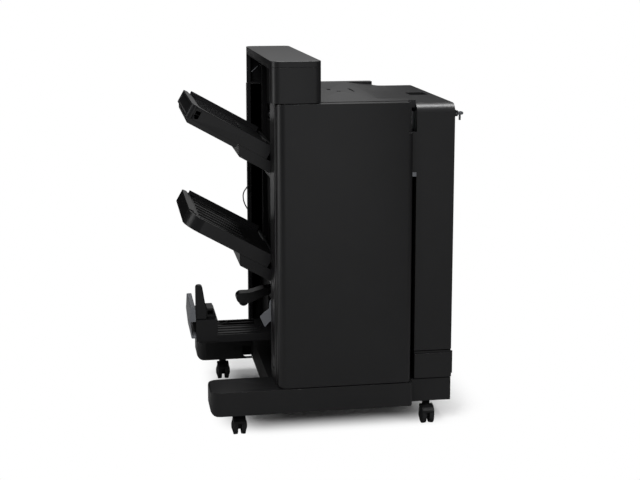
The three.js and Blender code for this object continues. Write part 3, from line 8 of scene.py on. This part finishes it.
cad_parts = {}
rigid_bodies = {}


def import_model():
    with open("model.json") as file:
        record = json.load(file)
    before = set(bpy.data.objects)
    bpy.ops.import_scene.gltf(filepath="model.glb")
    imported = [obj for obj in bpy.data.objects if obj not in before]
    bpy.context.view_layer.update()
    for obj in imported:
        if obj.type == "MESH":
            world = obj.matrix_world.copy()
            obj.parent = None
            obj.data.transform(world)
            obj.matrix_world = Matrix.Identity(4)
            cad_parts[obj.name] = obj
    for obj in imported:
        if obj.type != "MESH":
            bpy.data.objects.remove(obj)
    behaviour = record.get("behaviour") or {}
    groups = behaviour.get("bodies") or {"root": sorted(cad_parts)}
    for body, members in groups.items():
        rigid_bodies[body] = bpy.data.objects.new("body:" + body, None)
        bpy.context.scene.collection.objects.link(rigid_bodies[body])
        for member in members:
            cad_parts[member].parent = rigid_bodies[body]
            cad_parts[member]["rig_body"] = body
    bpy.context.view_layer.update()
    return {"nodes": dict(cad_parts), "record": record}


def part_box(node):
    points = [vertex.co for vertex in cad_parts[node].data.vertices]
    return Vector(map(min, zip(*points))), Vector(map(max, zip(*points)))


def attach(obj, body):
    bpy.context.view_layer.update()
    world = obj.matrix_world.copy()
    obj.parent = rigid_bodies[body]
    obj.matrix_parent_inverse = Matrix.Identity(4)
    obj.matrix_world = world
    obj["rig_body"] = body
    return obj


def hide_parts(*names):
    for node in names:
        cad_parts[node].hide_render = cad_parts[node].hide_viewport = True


# Floor-standing printer finisher. X runs from the trays to the copier's side, Y from front to back
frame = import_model()
scene = bpy.context.scene
scene.view_settings.view_transform = "Standard"
mm = 0.001  # sizes and places below are in millimetres, apart from the studio's
near = 0.02 * mm  # two places nearer than this are the same place
print("frame loaded")


# Camera, solved on the straight edges of the door, the tower and the base
camera = {
    "place": (-586.8, -3646.4, 1304.3),
    "turn": 9.57,  # degrees to the right of straight back
    "tilt": 9.61,  # degrees downwards
    "focalPixels": 1277.8,
    "imageWidth": 640,
    "sensor": 36,
    "shift": -0.1,
}


def makeCamera(values):
    lens = bpy.data.cameras.new("camera")
    lens.sensor_width = values["sensor"]
    lens.lens = values["focalPixels"] / values["imageWidth"] * values["sensor"]
    lens.shift_y = values["shift"]
    holder = bpy.data.objects.new("camera", lens)
    holder.location = Vector(values["place"]) * mm
    holder.rotation_euler = (math.radians(90 - values["tilt"]), 0, -math.radians(values["turn"]))
    scene.collection.objects.link(holder)
    scene.camera = holder


makeCamera(camera)


# Materials. Colours are sRGB hex values, and this is the sRGB curve
def linear(colour):
    parts = [int(colour[i:i + 2], 16) / 255 for i in (1, 3, 5)]
    return [p / 12.92 if p <= 0.04045 else ((p + 0.055) / 1.055) ** 2.4 for p in parts] + [1]


def toned(colour, share):
    return [min(1, c * share) for c in linear(colour)[:3]] + [1]


def addNode(tree, kind, settings=None, links=None):
    node = tree.nodes.new(kind)
    for name, value in (settings or {}).items():
        if name == "stops":
            for stop, (position, colour) in zip(node.color_ramp.elements, value):
                stop.position = position
                stop.color = colour
        elif isinstance(name, int) or name in node.inputs:
            node.inputs[name].default_value = value
        else:
            setattr(node, name, value)
    for name, source in (links or {}).items():
        tree.links.new(source, node.inputs[name])
    return node


def newMaterial(name):
    material = bpy.data.materials.new(name)
    material.use_nodes = True
    tree = material.node_tree
    tree.nodes.clear()
    return material, tree


def perMetre(size):
    return 1 / (size * mm)  # texture scale for a pattern of that many millimetres


# Injection-moulded ABS. A spark-eroded mould leaves a fine even grain, so the black looks soft and
# dark face on, and pale where it is seen along the surface. Its tone drifts a little over a hand's
# width. A real grain is a tenth of a millimetre, and it is drawn coarser here so that it shows
def mouldedPlastic(name, colour, rough=0.42, specular=0.3, grain=1.1, relief=0.05, mottle=0.06, drift=70):
    material, tree = newMaterial(name)
    place = addNode(tree, "ShaderNodeTexCoord").outputs["Object"]
    pits = addNode(tree, "ShaderNodeTexNoise", {"Scale": perMetre(grain), "Detail": 3.0}, {"Vector": place})
    cloud = addNode(tree, "ShaderNodeTexNoise", {"Scale": perMetre(drift), "Detail": 2.0},
                    {"Vector": place})
    tone = addNode(tree, "ShaderNodeValToRGB",
                   {"stops": [(0.3, toned(colour, 1 - mottle)), (0.7, toned(colour, 1 + mottle))]},
                   {"Fac": cloud.outputs["Fac"]})
    polish = addNode(tree, "ShaderNodeMapRange", {"To Min": rough - 0.04, "To Max": rough + 0.04},
                     {"Value": pits.outputs["Fac"]})
    bump = addNode(tree, "ShaderNodeBump", {"Strength": 0.35, "Distance": relief * mm},
                   {"Height": pits.outputs["Fac"]})
    shader = addNode(tree, "ShaderNodeBsdfPrincipled", {"Specular IOR Level": specular, "IOR": 1.5},
                     {"Base Color": tone.outputs["Color"], "Roughness": polish.outputs["Result"],
                      "Normal": bump.outputs["Normal"]})
    addNode(tree, "ShaderNodeOutputMaterial", links={"Surface": shader.outputs["BSDF"]})
    return material


# Powder coat baked on steel. The melted powder levels out to a low orange peel a few millimetres
# across, and its matting agent leaves no clear highlight
def powderCoat(name, colour, rough=0.6, peel=2.6, relief=0.03, mottle=0.1):
    material, tree = newMaterial(name)
    place = addNode(tree, "ShaderNodeTexCoord").outputs["Object"]
    skin = addNode(tree, "ShaderNodeTexNoise", {"Scale": perMetre(peel), "Detail": 1.0}, {"Vector": place})
    tone = addNode(tree, "ShaderNodeValToRGB",
                   {"stops": [(0, toned(colour, 1 - mottle)), (1, toned(colour, 1 + mottle))]},
                   {"Fac": skin.outputs["Fac"]})
    polish = addNode(tree, "ShaderNodeMapRange", {"To Min": rough - 0.03, "To Max": rough + 0.05},
                     {"Value": skin.outputs["Fac"]})
    bump = addNode(tree, "ShaderNodeBump", {"Strength": 0.3, "Distance": relief * mm},
                   {"Height": skin.outputs["Fac"]})
    shader = addNode(tree, "ShaderNodeBsdfPrincipled", {"Specular IOR Level": 0.2},
                     {"Base Color": tone.outputs["Color"], "Roughness": polish.outputs["Result"],
                      "Normal": bump.outputs["Normal"]})
    addNode(tree, "ShaderNodeOutputMaterial", links={"Surface": shader.outputs["BSDF"]})
    return material


# Hot-dip zinc coated steel sheet. The zinc freezes in flat crystals, which show as pale and dark
# patches about a centimetre across. The fine grit on them is drawn coarser than it is
def zincSheet(name, colour, crystal=9, rough=0.38, dark=0.78, pale=1.12, grit=1.5, relief=0.03):
    material, tree = newMaterial(name)
    place = addNode(tree, "ShaderNodeTexCoord").outputs["Object"]
    cells = addNode(tree, "ShaderNodeTexVoronoi", {"Scale": perMetre(crystal), "Randomness": 1.0},
                    {"Vector": place})
    tone = addNode(tree, "ShaderNodeValToRGB",
                   {"stops": [(0, toned(colour, dark)), (1, toned(colour, pale))]},
                   {"Fac": cells.outputs["Color"]})
    polish = addNode(tree, "ShaderNodeMapRange", {"To Min": rough - 0.08, "To Max": rough + 0.1},
                     {"Value": cells.outputs["Color"]})
    fine = addNode(tree, "ShaderNodeTexNoise", {"Scale": perMetre(grit)}, {"Vector": place})
    bump = addNode(tree, "ShaderNodeBump", {"Strength": 0.2, "Distance": relief * mm},
                   {"Height": fine.outputs["Fac"]})
    shader = addNode(tree, "ShaderNodeBsdfPrincipled", {"Metallic": 1.0},
                     {"Base Color": tone.outputs["Color"], "Roughness": polish.outputs["Result"],
                      "Normal": bump.outputs["Normal"]})
    addNode(tree, "ShaderNodeOutputMaterial", links={"Surface": shader.outputs["BSDF"]})
    return material


# Drawn or ground metal. The die leaves long scratches along one axis, so highlights stretch
# across them. The scratches are drawn wider than they are, so that they show
def drawnMetal(name, colour, along, rough=0.26, scratch=0.7, length=60, dark=0.82, pale=1.1, relief=0.02):
    material, tree = newMaterial(name)
    place = addNode(tree, "ShaderNodeTexCoord").outputs["Object"]
    spread = [perMetre(scratch)] * 3
    spread["xyz".index(along)] = perMetre(length)
    stretched = addNode(tree, "ShaderNodeMapping", {"Scale": spread}, {"Vector": place})
    lines = addNode(tree, "ShaderNodeTexNoise", {"Scale": 1.0, "Detail": 2.0},
                    {"Vector": stretched.outputs["Vector"]})
    tone = addNode(tree, "ShaderNodeValToRGB",
                   {"stops": [(0, toned(colour, dark)), (1, toned(colour, pale))]},
                   {"Fac": lines.outputs["Fac"]})
    polish = addNode(tree, "ShaderNodeMapRange", {"To Min": rough - 0.06, "To Max": rough + 0.12},
                     {"Value": lines.outputs["Fac"]})
    bump = addNode(tree, "ShaderNodeBump", {"Strength": 0.15, "Distance": relief * mm},
                   {"Height": lines.outputs["Fac"]})
    shader = addNode(tree, "ShaderNodeBsdfPrincipled", {"Metallic": 1.0},
                     {"Base Color": tone.outputs["Color"], "Roughness": polish.outputs["Result"],
                      "Normal": bump.outputs["Normal"]})
    addNode(tree, "ShaderNodeOutputMaterial", links={"Surface": shader.outputs["BSDF"]})
    return material


# Moulded rubber or urethane. It scatters light widely and picks up pale dust in its pores, which
# are drawn larger than they are
def dustyRubber(name, colour, dust, rough=0.75, pore=1.4, relief=0.08):
    material, tree = newMaterial(name)
    place = addNode(tree, "ShaderNodeTexCoord").outputs["Object"]
    pores = addNode(tree, "ShaderNodeTexNoise", {"Scale": perMetre(pore), "Detail": 4.0}, {"Vector": place})
    tone = addNode(tree, "ShaderNodeValToRGB", {"stops": [(0.45, linear(colour)), (0.8, linear(dust))]},
                   {"Fac": pores.outputs["Fac"]})
    bump = addNode(tree, "ShaderNodeBump", {"Strength": 0.3, "Distance": relief * mm},
                   {"Height": pores.outputs["Fac"]})
    shader = addNode(tree, "ShaderNodeBsdfPrincipled", {"Roughness": rough, "Specular IOR Level": 0.3},
                     {"Base Color": tone.outputs["Color"], "Normal": bump.outputs["Normal"]})
    addNode(tree, "ShaderNodeOutputMaterial", links={"Surface": shader.outputs["BSDF"]})
    return material


# Epoxy board under solder mask. Copper tracks show through the green as slightly raised, paler
# lines, drawn wider apart than they are
def solderMask(name, colour, track, pitch=5, trackFrom=0.72, relief=0.05):
    material, tree = newMaterial(name)
    place = addNode(tree, "ShaderNodeTexCoord").outputs["Object"]
    lanes = addNode(tree, "ShaderNodeTexVoronoi",
                    {"distance": "MANHATTAN", "feature": "F1", "Scale": perMetre(pitch)}, {"Vector": place})
    tone = addNode(tree, "ShaderNodeValToRGB", {"stops": [(0, linear(colour)), (trackFrom, linear(track))]},
                   {"Fac": lanes.outputs["Distance"]})
    tone.color_ramp.interpolation = "CONSTANT"
    bump = addNode(tree, "ShaderNodeBump", {"Strength": 0.4, "Distance": relief * mm},
                   {"Height": tone.outputs["Color"]})
    shader = addNode(tree, "ShaderNodeBsdfPrincipled", {"Roughness": 0.3},
                     {"Base Color": tone.outputs["Color"], "Normal": bump.outputs["Normal"]})
    addNode(tree, "ShaderNodeOutputMaterial", links={"Surface": shader.outputs["BSDF"]})
    return material


looks = {
    "shell_black": mouldedPlastic("spark grained black ABS", "#171718", rough=0.38, specular=0.42),
    "trim_black": mouldedPlastic("satin black ABS", "#171718", rough=0.3, relief=0.02),
    "tray_black": mouldedPlastic("smooth black HIPS", "#19191a", rough=0.3, relief=0.008),
    "bay_black": powderCoat("matt black powder coat on steel", "#0b0b0c"),
    "frame_steel": zincSheet("zinc coated sheet", "#8f9296"),
    "rail_steel": drawnMetal("drawn steel", "#a3a6aa", "z"),
    "latch_steel": drawnMetal("ground steel", "#7b7d81", "y"),
    "punch_alloy": drawnMetal("extruded aluminium", "#b9bcc0", "y", rough=0.34),
    "guide_grey": mouldedPlastic("grey POM", "#707276", rough=0.35, relief=0.02),
    "release_green": mouldedPlastic("green ABS", "#2f7d4f", rough=0.35, relief=0.02),
    "roller_rubber": dustyRubber("EPDM rubber", "#1d1e20", "#3a3b3d"),
    "wheel_rubber": dustyRubber("cast polyurethane", "#17181a", "#3c3c3c", rough=0.6),
    "caster_black": mouldedPlastic("glass filled nylon", "#1c1c1d", rough=0.5, grain=0.9, mottle=0.15),
    "cable_black": dustyRubber("PVC sheath", "#141415", "#2a2a2b", rough=0.45),
    "board_green": solderMask("solder mask", "#13442b", "#2c6d49"),
}
print("materials made:", len(looks))


# Mesh helpers. A CAD node's mesh is loose triangles, so a copy is joined up and its flats made whole
def mergedCopy(node, joinWithin=0.005, flatWithin=1):
    shape = bmesh.new()
    shape.from_mesh(frame["nodes"][node].data)
    bmesh.ops.remove_doubles(shape, verts=shape.verts, dist=joinWithin * mm)
    bmesh.ops.dissolve_limit(shape, angle_limit=math.radians(flatWithin), verts=shape.verts,
                             edges=shape.edges)
    return shape


def bodyOf(node):
    return frame["nodes"][node]["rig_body"]


def slotOf(node):
    return next(part["material_slot"] for part in frame["record"]["subparts"] if part["node"] == node)


def finishPiece(name, shape, node, edge=0.0, slot=None, replaced=None, segments=3, sharp=32):
    mesh = bpy.data.meshes.new(name)
    shape.to_mesh(mesh)
    shape.free()
    slot = slot or slotOf(node)
    mesh.materials.clear()
    mesh.materials.append(looks[slot])
    mesh.shade_smooth()
    mesh.set_sharp_from_angle(angle=math.radians(sharp))
    piece = bpy.data.objects.new(name, mesh)
    scene.collection.objects.link(piece)
    if edge:
        softener = piece.modifiers.new("soft edges", "BEVEL")
        softener.width = edge * mm
        softener.segments = segments
        softener.limit_method = "ANGLE"
        softener.angle_limit = math.radians(sharp)
        softener.harden_normals = True
        softener.miter_outer = "MITER_ARC"
    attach(piece, bodyOf(node))
    if replaced:
        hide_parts(*replaced)


# Faces lying on one flat place, cut along the sides of each rectangle and pressed in
def pressIn(shape, axis, place, rectangles, depth, draft=0.4):
    number = "xyz".index(axis)
    across = [n for n in range(3) if n != number]

    def onPlace():
        return [face for face in shape.faces
                if all(abs(vert.co[number] - place) < near for vert in face.verts)]

    for rectangle in rectangles:
        for way, sides in zip(across, rectangle):
            normal = [0, 0, 0]
            normal[way] = 1
            for side in sides:
                point = [0, 0, 0]
                point[way] = side
                faces = onPlace()
                edges = {edge for face in faces for edge in face.edges}
                verts = {vert for face in faces for vert in face.verts}
                bmesh.ops.bisect_plane(shape, geom=list(verts) + list(edges) + faces, dist=near,
                                       plane_co=point, plane_no=normal)
    inside = []
    for face in onPlace():
        middle = face.calc_center_median()
        for rectangle in rectangles:
            if all(sides[0] < middle[way] < sides[1] for way, sides in zip(across, rectangle)):
                inside.append(face)
                break
    bmesh.ops.inset_region(shape, faces=inside, thickness=draft * mm, depth=-depth * mm,
                           use_even_offset=True)


# Casings, trays and arms get rounded edges of these sizes. The four in ownPieces are made further
# down, and the other solids get their finish alone
edgeSizes = {
    "front_door": 1.5, "tower_housing": 1.2, "tower_lid": 1.2, "top_cover": 1.2, "top_front_trim": 1.0,
    "punch_front_cover": 1.2, "punch_base_cover": 1.2, "hole_waste_drawer": 1.0,
    "front_leg_cover": 1.2, "rear_leg_cover": 1.2, "upper_tray_deck": 1.0, "lower_tray_deck": 1.0,
    "upper_tray_extension": 0.8, "lower_tray_extension": 0.8, "upper_tray_carriage": 1.0,
    "lower_tray_carriage": 1.0, "booklet_tray_deck": 0.8, "stopper_post": 1.0, "press_arm": 0.8,
    "exit_side_guide": 0.6, "docking_latch": 0.5,
}
ownPieces = ["rear_cover", "punch_side_cover", "front_column_cover", "booklet_stopper"]
for node, held in frame["nodes"].items():
    if node in edgeSizes:
        finishPiece(node + ".skin", mergedCopy(node), node, edgeSizes[node], replaced=[node])
    elif node not in ownPieces:
        held.data.materials.clear()
        held.data.materials.append(looks[slotOf(node)])
print("pieces dressed")


# Pan-head screws with a cross, each in a pressed seat that is deeper than its head
screw = {
    "seat": 12, "seatDepth": 2.4, "radius": 4.2, "taper": 0.82, "height": 1.6, "sides": 28,
    "cross": 1.3, "reach": 3.0, "crossDraft": 0.1,
    "crossDepth": 0.7,  # as a share of the head's height
}


def seatScrews(shape, axis, place, middles, values):
    half = values["seat"] / 2 * mm
    seats = [[(a - half, a + half), (b - half, b + half)] for a, b in middles]
    pressIn(shape, axis, place, seats, values["seatDepth"])


def addScrews(node, axis, place, middles, values):
    number = "xyz".index(axis)
    across = [n for n in range(3) if n != number]
    quarter, about = (-90, "X") if axis == "y" else (90, "Y")
    turn = Matrix.Rotation(math.radians(quarter), 4, about)
    sunk = place - (values["seatDepth"] - values["height"] / 2) * mm
    arm, reach = values["cross"] / 2 * mm, values["reach"] * mm
    for count, (a, b) in enumerate(middles):
        spot = [sunk] * 3
        spot[across[0]], spot[across[1]] = a, b
        head = bmesh.new()
        bmesh.ops.create_cone(head, cap_ends=True, segments=values["sides"], radius1=values["radius"] * mm,
                              radius2=values["radius"] * values["taper"] * mm, depth=values["height"] * mm,
                              matrix=Matrix.Translation(spot) @ turn)
        top = max(vert.co[number] for vert in head.verts)
        cross = [[(a - arm, a + arm), (b - reach, b + reach)], [(a - reach, a + reach), (b - arm, b + arm)]]
        pressIn(head, axis, top, cross, values["height"] * values["crossDepth"], values["crossDraft"])
        finishPiece(f"{node}.screw{count + 1}", head, node, slot="latch_steel")


# Rear cover: pressed vents and screw seats in its back
rearCover = {
    "edge": 1.0, "ventRows": 9, "ventPitch": 11, "ventHeight": 5, "ventLow": 690,
    "ventSpans": [(60, 165), (215, 320)], "ventDepth": 2.2, "screwInset": 22,
    "screwHeights": [30, 260, 520, 755],
}


def makeRearCover(values):
    low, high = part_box("rear_cover")
    shape = mergedCopy("rear_cover")
    vents = []
    for row in range(values["ventRows"]):
        bottom = values["ventLow"] * mm + row * values["ventPitch"] * mm
        for left, right in values["ventSpans"]:
            vents.append([(low[0] + left * mm, low[0] + right * mm),
                          (bottom, bottom + values["ventHeight"] * mm)])
    pressIn(shape, "y", high[1], vents, values["ventDepth"])
    middles = [(side, low[2] + height * mm) for height in values["screwHeights"]
               for side in (low[0] + values["screwInset"] * mm, high[0] - values["screwInset"] * mm)]
    seatScrews(shape, "y", high[1], middles, screw)
    finishPiece("rear_cover.skin", shape, "rear_cover", values["edge"], replaced=["rear_cover"])
    addScrews("rear_cover", "y", high[1], middles, screw)


makeRearCover(rearCover)
print("rear cover made")


# Punch unit's outer side: screws round its border and a long pressed stiffening field
punchSide = {
    "edge": 1.0, "screwInset": 16, "screwHeights": [40, 380, 690], "fieldSides": (70, 70),
    "fieldHeights": (90, 600), "fieldDepth": 1.6, "fieldDraft": 1.6,
}


def makePunchSide(values):
    low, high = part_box("punch_side_cover")
    shape = mergedCopy("punch_side_cover")
    field = [(low[1] + values["fieldSides"][0] * mm, high[1] - values["fieldSides"][1] * mm),
             tuple(low[2] + height * mm for height in values["fieldHeights"])]
    pressIn(shape, "x", high[0], [field], values["fieldDepth"], values["fieldDraft"])
    middles = [(side, low[2] + height * mm) for height in values["screwHeights"]
               for side in (low[1] + values["screwInset"] * mm, high[1] - values["screwInset"] * mm)]
    seatScrews(shape, "x", high[0], middles, screw)
    finishPiece("punch_side_cover.skin", shape, "punch_side_cover", values["edge"],
                replaced=["punch_side_cover"])
    addScrews("punch_side_cover", "x", high[0], middles, screw)


makePunchSide(punchSide)
print("punch side made")


# Column beside the bay: the long rounded tab on its left side is hollowed inside a narrow rim
columnTab = {"edge": 0.8, "rim": 3.5, "slope": 1.2, "depth": 2.0}


def makeColumn(values):
    shape = mergedCopy("front_column_cover")
    left = min(vert.co.x for vert in shape.verts)
    tab = [face for face in shape.faces if all(abs(vert.co.x - left) < near for vert in face.verts)]
    bmesh.ops.inset_region(shape, faces=tab, thickness=values["rim"] * mm, depth=0, use_even_offset=True)
    bmesh.ops.inset_region(shape, faces=tab, thickness=values["slope"] * mm, depth=-values["depth"] * mm,
                           use_even_offset=True)
    finishPiece("front_column_cover.skin", shape, "front_column_cover", values["edge"],
                replaced=["front_column_cover"])


makeColumn(columnTab)
print("column made")


# Stopper of the booklet tray, with a paler flap on its outer side
stopperFlap = {"edge": 1.0, "flapEdge": 0.4, "seam": 0.6}


def partOf(node, axis, place, keepHigh):
    shape = mergedCopy(node)
    number = "xyz".index(axis)
    point, normal = [0, 0, 0], [0, 0, 0]
    point[number], normal[number] = place, 1
    bmesh.ops.bisect_plane(shape, geom=shape.verts[:] + shape.edges[:] + shape.faces[:], dist=near,
                           plane_co=point, plane_no=normal, clear_inner=keepHigh, clear_outer=not keepHigh)
    rims = [edge for edge in shape.edges if edge.is_boundary]
    bmesh.ops.holes_fill(shape, edges=rims)
    bmesh.ops.recalc_face_normals(shape, faces=shape.faces)
    return shape


def makeStopper(values):
    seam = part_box("stopper_post")[0][0] - values["seam"] * mm
    finishPiece("booklet_stopper.skin", partOf("booklet_stopper", "x", seam, True), "booklet_stopper",
                values["edge"], replaced=["booklet_stopper"])
    finishPiece("booklet_stopper.flap", partOf("booklet_stopper", "x", seam, False), "booklet_stopper",
                values["flapEdge"], slot="guide_grey")


makeStopper(stopperFlap)
print("stopper made")


# Studio: a white floor in a white world, a large soft panel overhead, two beside the camera and one
# behind. The last two panels show only as highlights. Black boards around keep the black plastic
# black. So does the floor, which is grey in bounced light and, near the cabinet, in reflections.
# Lengths here are in metres
studio = {
    "floorRadius": 9.0,
    "floorSides": 96,
    "floorPaint": "#f4f4f4",
    "darkMiddle": (0.1, 0.335, 0),  # in a field round this place the camera sees paint and shadow
    "darkHalf": (0.25, 0.465, 0),
    "whiteFrom": 0.02,  # and between these distances from the field it blends to plain white
    "whiteTo": 0.17,
    "fill": 0.34,  # strength of the world as a light
    "mirrored": 0.28,  # and in reflections
    "floorMirrored": "#8a8a8a",
    "farMirrored": 1.0,  # strength of the far floor in reflections
    "farFrom": 2.4,
    "farTo": 4.0,
    "boardPaint": "#050505",
    "panels": [
        {"place": (0.1, 0.15, 2.7), "size": (1.7, 1.5), "power": 50, "shows": "both"},
        {"place": (-1.0, -2.0, 2.3), "size": (1.2, 1.0), "power": 40, "shows": "light"},
        {"place": (2.4, -2.4, 1.7), "size": (1.2, 2.0), "power": 24, "shows": "light"},
        {"place": (1.9, 2.9, 2.1), "size": (1.6, 2.0), "power": 60, "shows": "light"},
        {"place": (0.2, -0.5, 2.5), "size": (2.2, 0.5), "power": 52, "shows": "highlight"},
        {"place": (-2.4, -0.25, 0.9), "size": (1.2, 2.0), "power": 16, "shows": "highlight"},
    ],
    "boards": [
        {"place": (-2.6, 0.2, 1.1), "size": (5.0, 2.4), "turn": 90, "shades": True},
        {"place": (-1.9, -2.4, 1.1), "size": (2.5, 2.4), "turn": 140, "shades": False},
        {"place": (2.2, -2.2, 1.1), "size": (2.5, 2.4), "turn": 45, "shades": False},
        {"place": (2.6, 0.6, 1.1), "size": (5.0, 2.4), "turn": 90, "shades": False},
        {"place": (-2.5, 3.0, 1.2), "size": (4.0, 2.4), "turn": 0, "shades": False},
        {"place": (2.9, 3.0, 1.2), "size": (4.0, 2.4), "turn": 0, "shades": False},
    ],
    "aim": (0.0, 0.0, 0.55),
}


def makeFloor(values):
    shape = bmesh.new()
    bmesh.ops.create_circle(shape, cap_ends=True, radius=values["floorRadius"],
                            segments=values["floorSides"])
    mesh = bpy.data.meshes.new("floor")
    shape.to_mesh(mesh)
    shape.free()
    material, tree = newMaterial("white studio floor")
    place = addNode(tree, "ShaderNodeTexCoord").outputs["Object"]
    reach = addNode(tree, "ShaderNodeVectorMath", {"operation": "LENGTH"}, {0: place})
    fromMiddle = addNode(tree, "ShaderNodeVectorMath",
                         {"operation": "SUBTRACT", 1: values["darkMiddle"]}, {0: place})
    eitherWay = addNode(tree, "ShaderNodeVectorMath", {"operation": "ABSOLUTE"},
                        {0: fromMiddle.outputs["Vector"]})
    past = addNode(tree, "ShaderNodeVectorMath", {"operation": "SUBTRACT", 1: values["darkHalf"]},
                   {0: eitherWay.outputs["Vector"]})
    outside = addNode(tree, "ShaderNodeVectorMath", {"operation": "MAXIMUM", 1: (0, 0, 0)},
                      {0: past.outputs["Vector"]})
    gap = addNode(tree, "ShaderNodeVectorMath", {"operation": "LENGTH"}, {0: outside.outputs["Vector"]})
    blendOut = addNode(tree, "ShaderNodeMapRange",
                       {"interpolation_type": "SMOOTHSTEP", "From Min": values["whiteFrom"],
                        "From Max": values["whiteTo"]}, {"Value": gap.outputs["Value"]})
    paint = addNode(tree, "ShaderNodeBsdfDiffuse", {"Color": linear(values["floorPaint"])})
    white = addNode(tree, "ShaderNodeEmission", {"Color": (1, 1, 1, 1), "Strength": 1.0})
    dark = addNode(tree, "ShaderNodeBsdfDiffuse", {"Color": linear(values["floorMirrored"])})
    far = addNode(tree, "ShaderNodeEmission", {"Color": (1, 1, 1, 1), "Strength": values["farMirrored"]})
    away = addNode(tree, "ShaderNodeMapRange",
                   {"interpolation_type": "SMOOTHSTEP", "From Min": values["farFrom"],
                    "From Max": values["farTo"]}, {"Value": reach.outputs["Value"]})
    mirrored = addNode(tree, "ShaderNodeMixShader", links={
        0: away.outputs["Result"], 1: dark.outputs["BSDF"], 2: far.outputs["Emission"]})
    path = addNode(tree, "ShaderNodeLightPath")
    lit = addNode(tree, "ShaderNodeMixShader", links={
        0: path.outputs["Is Diffuse Ray"], 1: paint.outputs["BSDF"], 2: dark.outputs["BSDF"]})
    ground = addNode(tree, "ShaderNodeMixShader", links={
        0: path.outputs["Is Glossy Ray"], 1: lit.outputs["Shader"], 2: mirrored.outputs["Shader"]})
    share = addNode(tree, "ShaderNodeMath", {"operation": "MULTIPLY"},
                    {0: path.outputs["Is Camera Ray"], 1: blendOut.outputs["Result"]})
    mixed = addNode(tree, "ShaderNodeMixShader", links={
        0: share.outputs["Value"], 1: ground.outputs["Shader"], 2: white.outputs["Emission"]})
    addNode(tree, "ShaderNodeOutputMaterial", links={"Surface": mixed.outputs["Shader"]})
    mesh.materials.append(material)
    floor = bpy.data.objects.new("floor", mesh)
    scene.collection.objects.link(floor)


def makeWorld(values):
    world = bpy.data.worlds.new("studio")
    scene.world = world
    world.use_nodes = True
    tree = world.node_tree
    tree.nodes.clear()
    path = addNode(tree, "ShaderNodeLightPath")
    seen = addNode(tree, "ShaderNodeMath", {"operation": "MAXIMUM"},
                   {0: path.outputs["Is Camera Ray"], 1: path.outputs["Is Transmission Ray"]})
    soft = addNode(tree, "ShaderNodeMapRange", {"To Min": values["fill"], "To Max": values["mirrored"]},
                   {"Value": path.outputs["Is Glossy Ray"]})
    strength = addNode(tree, "ShaderNodeMapRange", {"To Max": 1.0},
                       {"Value": seen.outputs["Value"], "To Min": soft.outputs["Result"]})
    glow = addNode(tree, "ShaderNodeBackground", {"Color": (1, 1, 1, 1)},
                   {"Strength": strength.outputs["Result"]})
    addNode(tree, "ShaderNodeOutputWorld", links={"Surface": glow.outputs["Background"]})


def makePanels(values):
    for number, panel in enumerate(values["panels"]):
        lamp = bpy.data.lights.new(f"panel{number + 1}", "AREA")
        lamp.shape = "RECTANGLE"
        lamp.size, lamp.size_y = panel["size"]
        lamp.energy = panel["power"]
        holder = bpy.data.objects.new(lamp.name, lamp)
        holder.location = panel["place"]
        aim = Vector(values["aim"]) - Vector(panel["place"])
        holder.rotation_euler = aim.to_track_quat("-Z", "Y").to_euler()
        holder.visible_diffuse = panel["shows"] != "highlight"
        holder.visible_glossy = panel["shows"] != "light"
        scene.collection.objects.link(holder)


def makeBoards(values):
    material, tree = newMaterial("black flock board")
    cloth = addNode(tree, "ShaderNodeBsdfDiffuse", {"Color": linear(values["boardPaint"])})
    addNode(tree, "ShaderNodeOutputMaterial", links={"Surface": cloth.outputs["BSDF"]})
    upright = Matrix.Rotation(math.radians(90), 4, "X")
    for number, board in enumerate(values["boards"]):
        shape = bmesh.new()
        turn = Matrix.Rotation(math.radians(board["turn"]), 4, "Z") @ upright
        spread = Matrix.Diagonal((board["size"][0] / 2, board["size"][1] / 2, 1, 1))
        bmesh.ops.create_grid(shape, x_segments=1, y_segments=1, size=1, matrix=turn @ spread)
        mesh = bpy.data.meshes.new(f"board{number + 1}")
        shape.to_mesh(mesh)
        shape.free()
        mesh.materials.append(material)
        holder = bpy.data.objects.new(mesh.name, mesh)
        holder.location = board["place"]
        holder.visible_camera = False
        holder.visible_diffuse = board["shades"]
        holder.visible_shadow = False
        scene.collection.objects.link(holder)


makeFloor(studio)
makeWorld(studio)
makePanels(studio)
makeBoards(studio)
print("studio made")
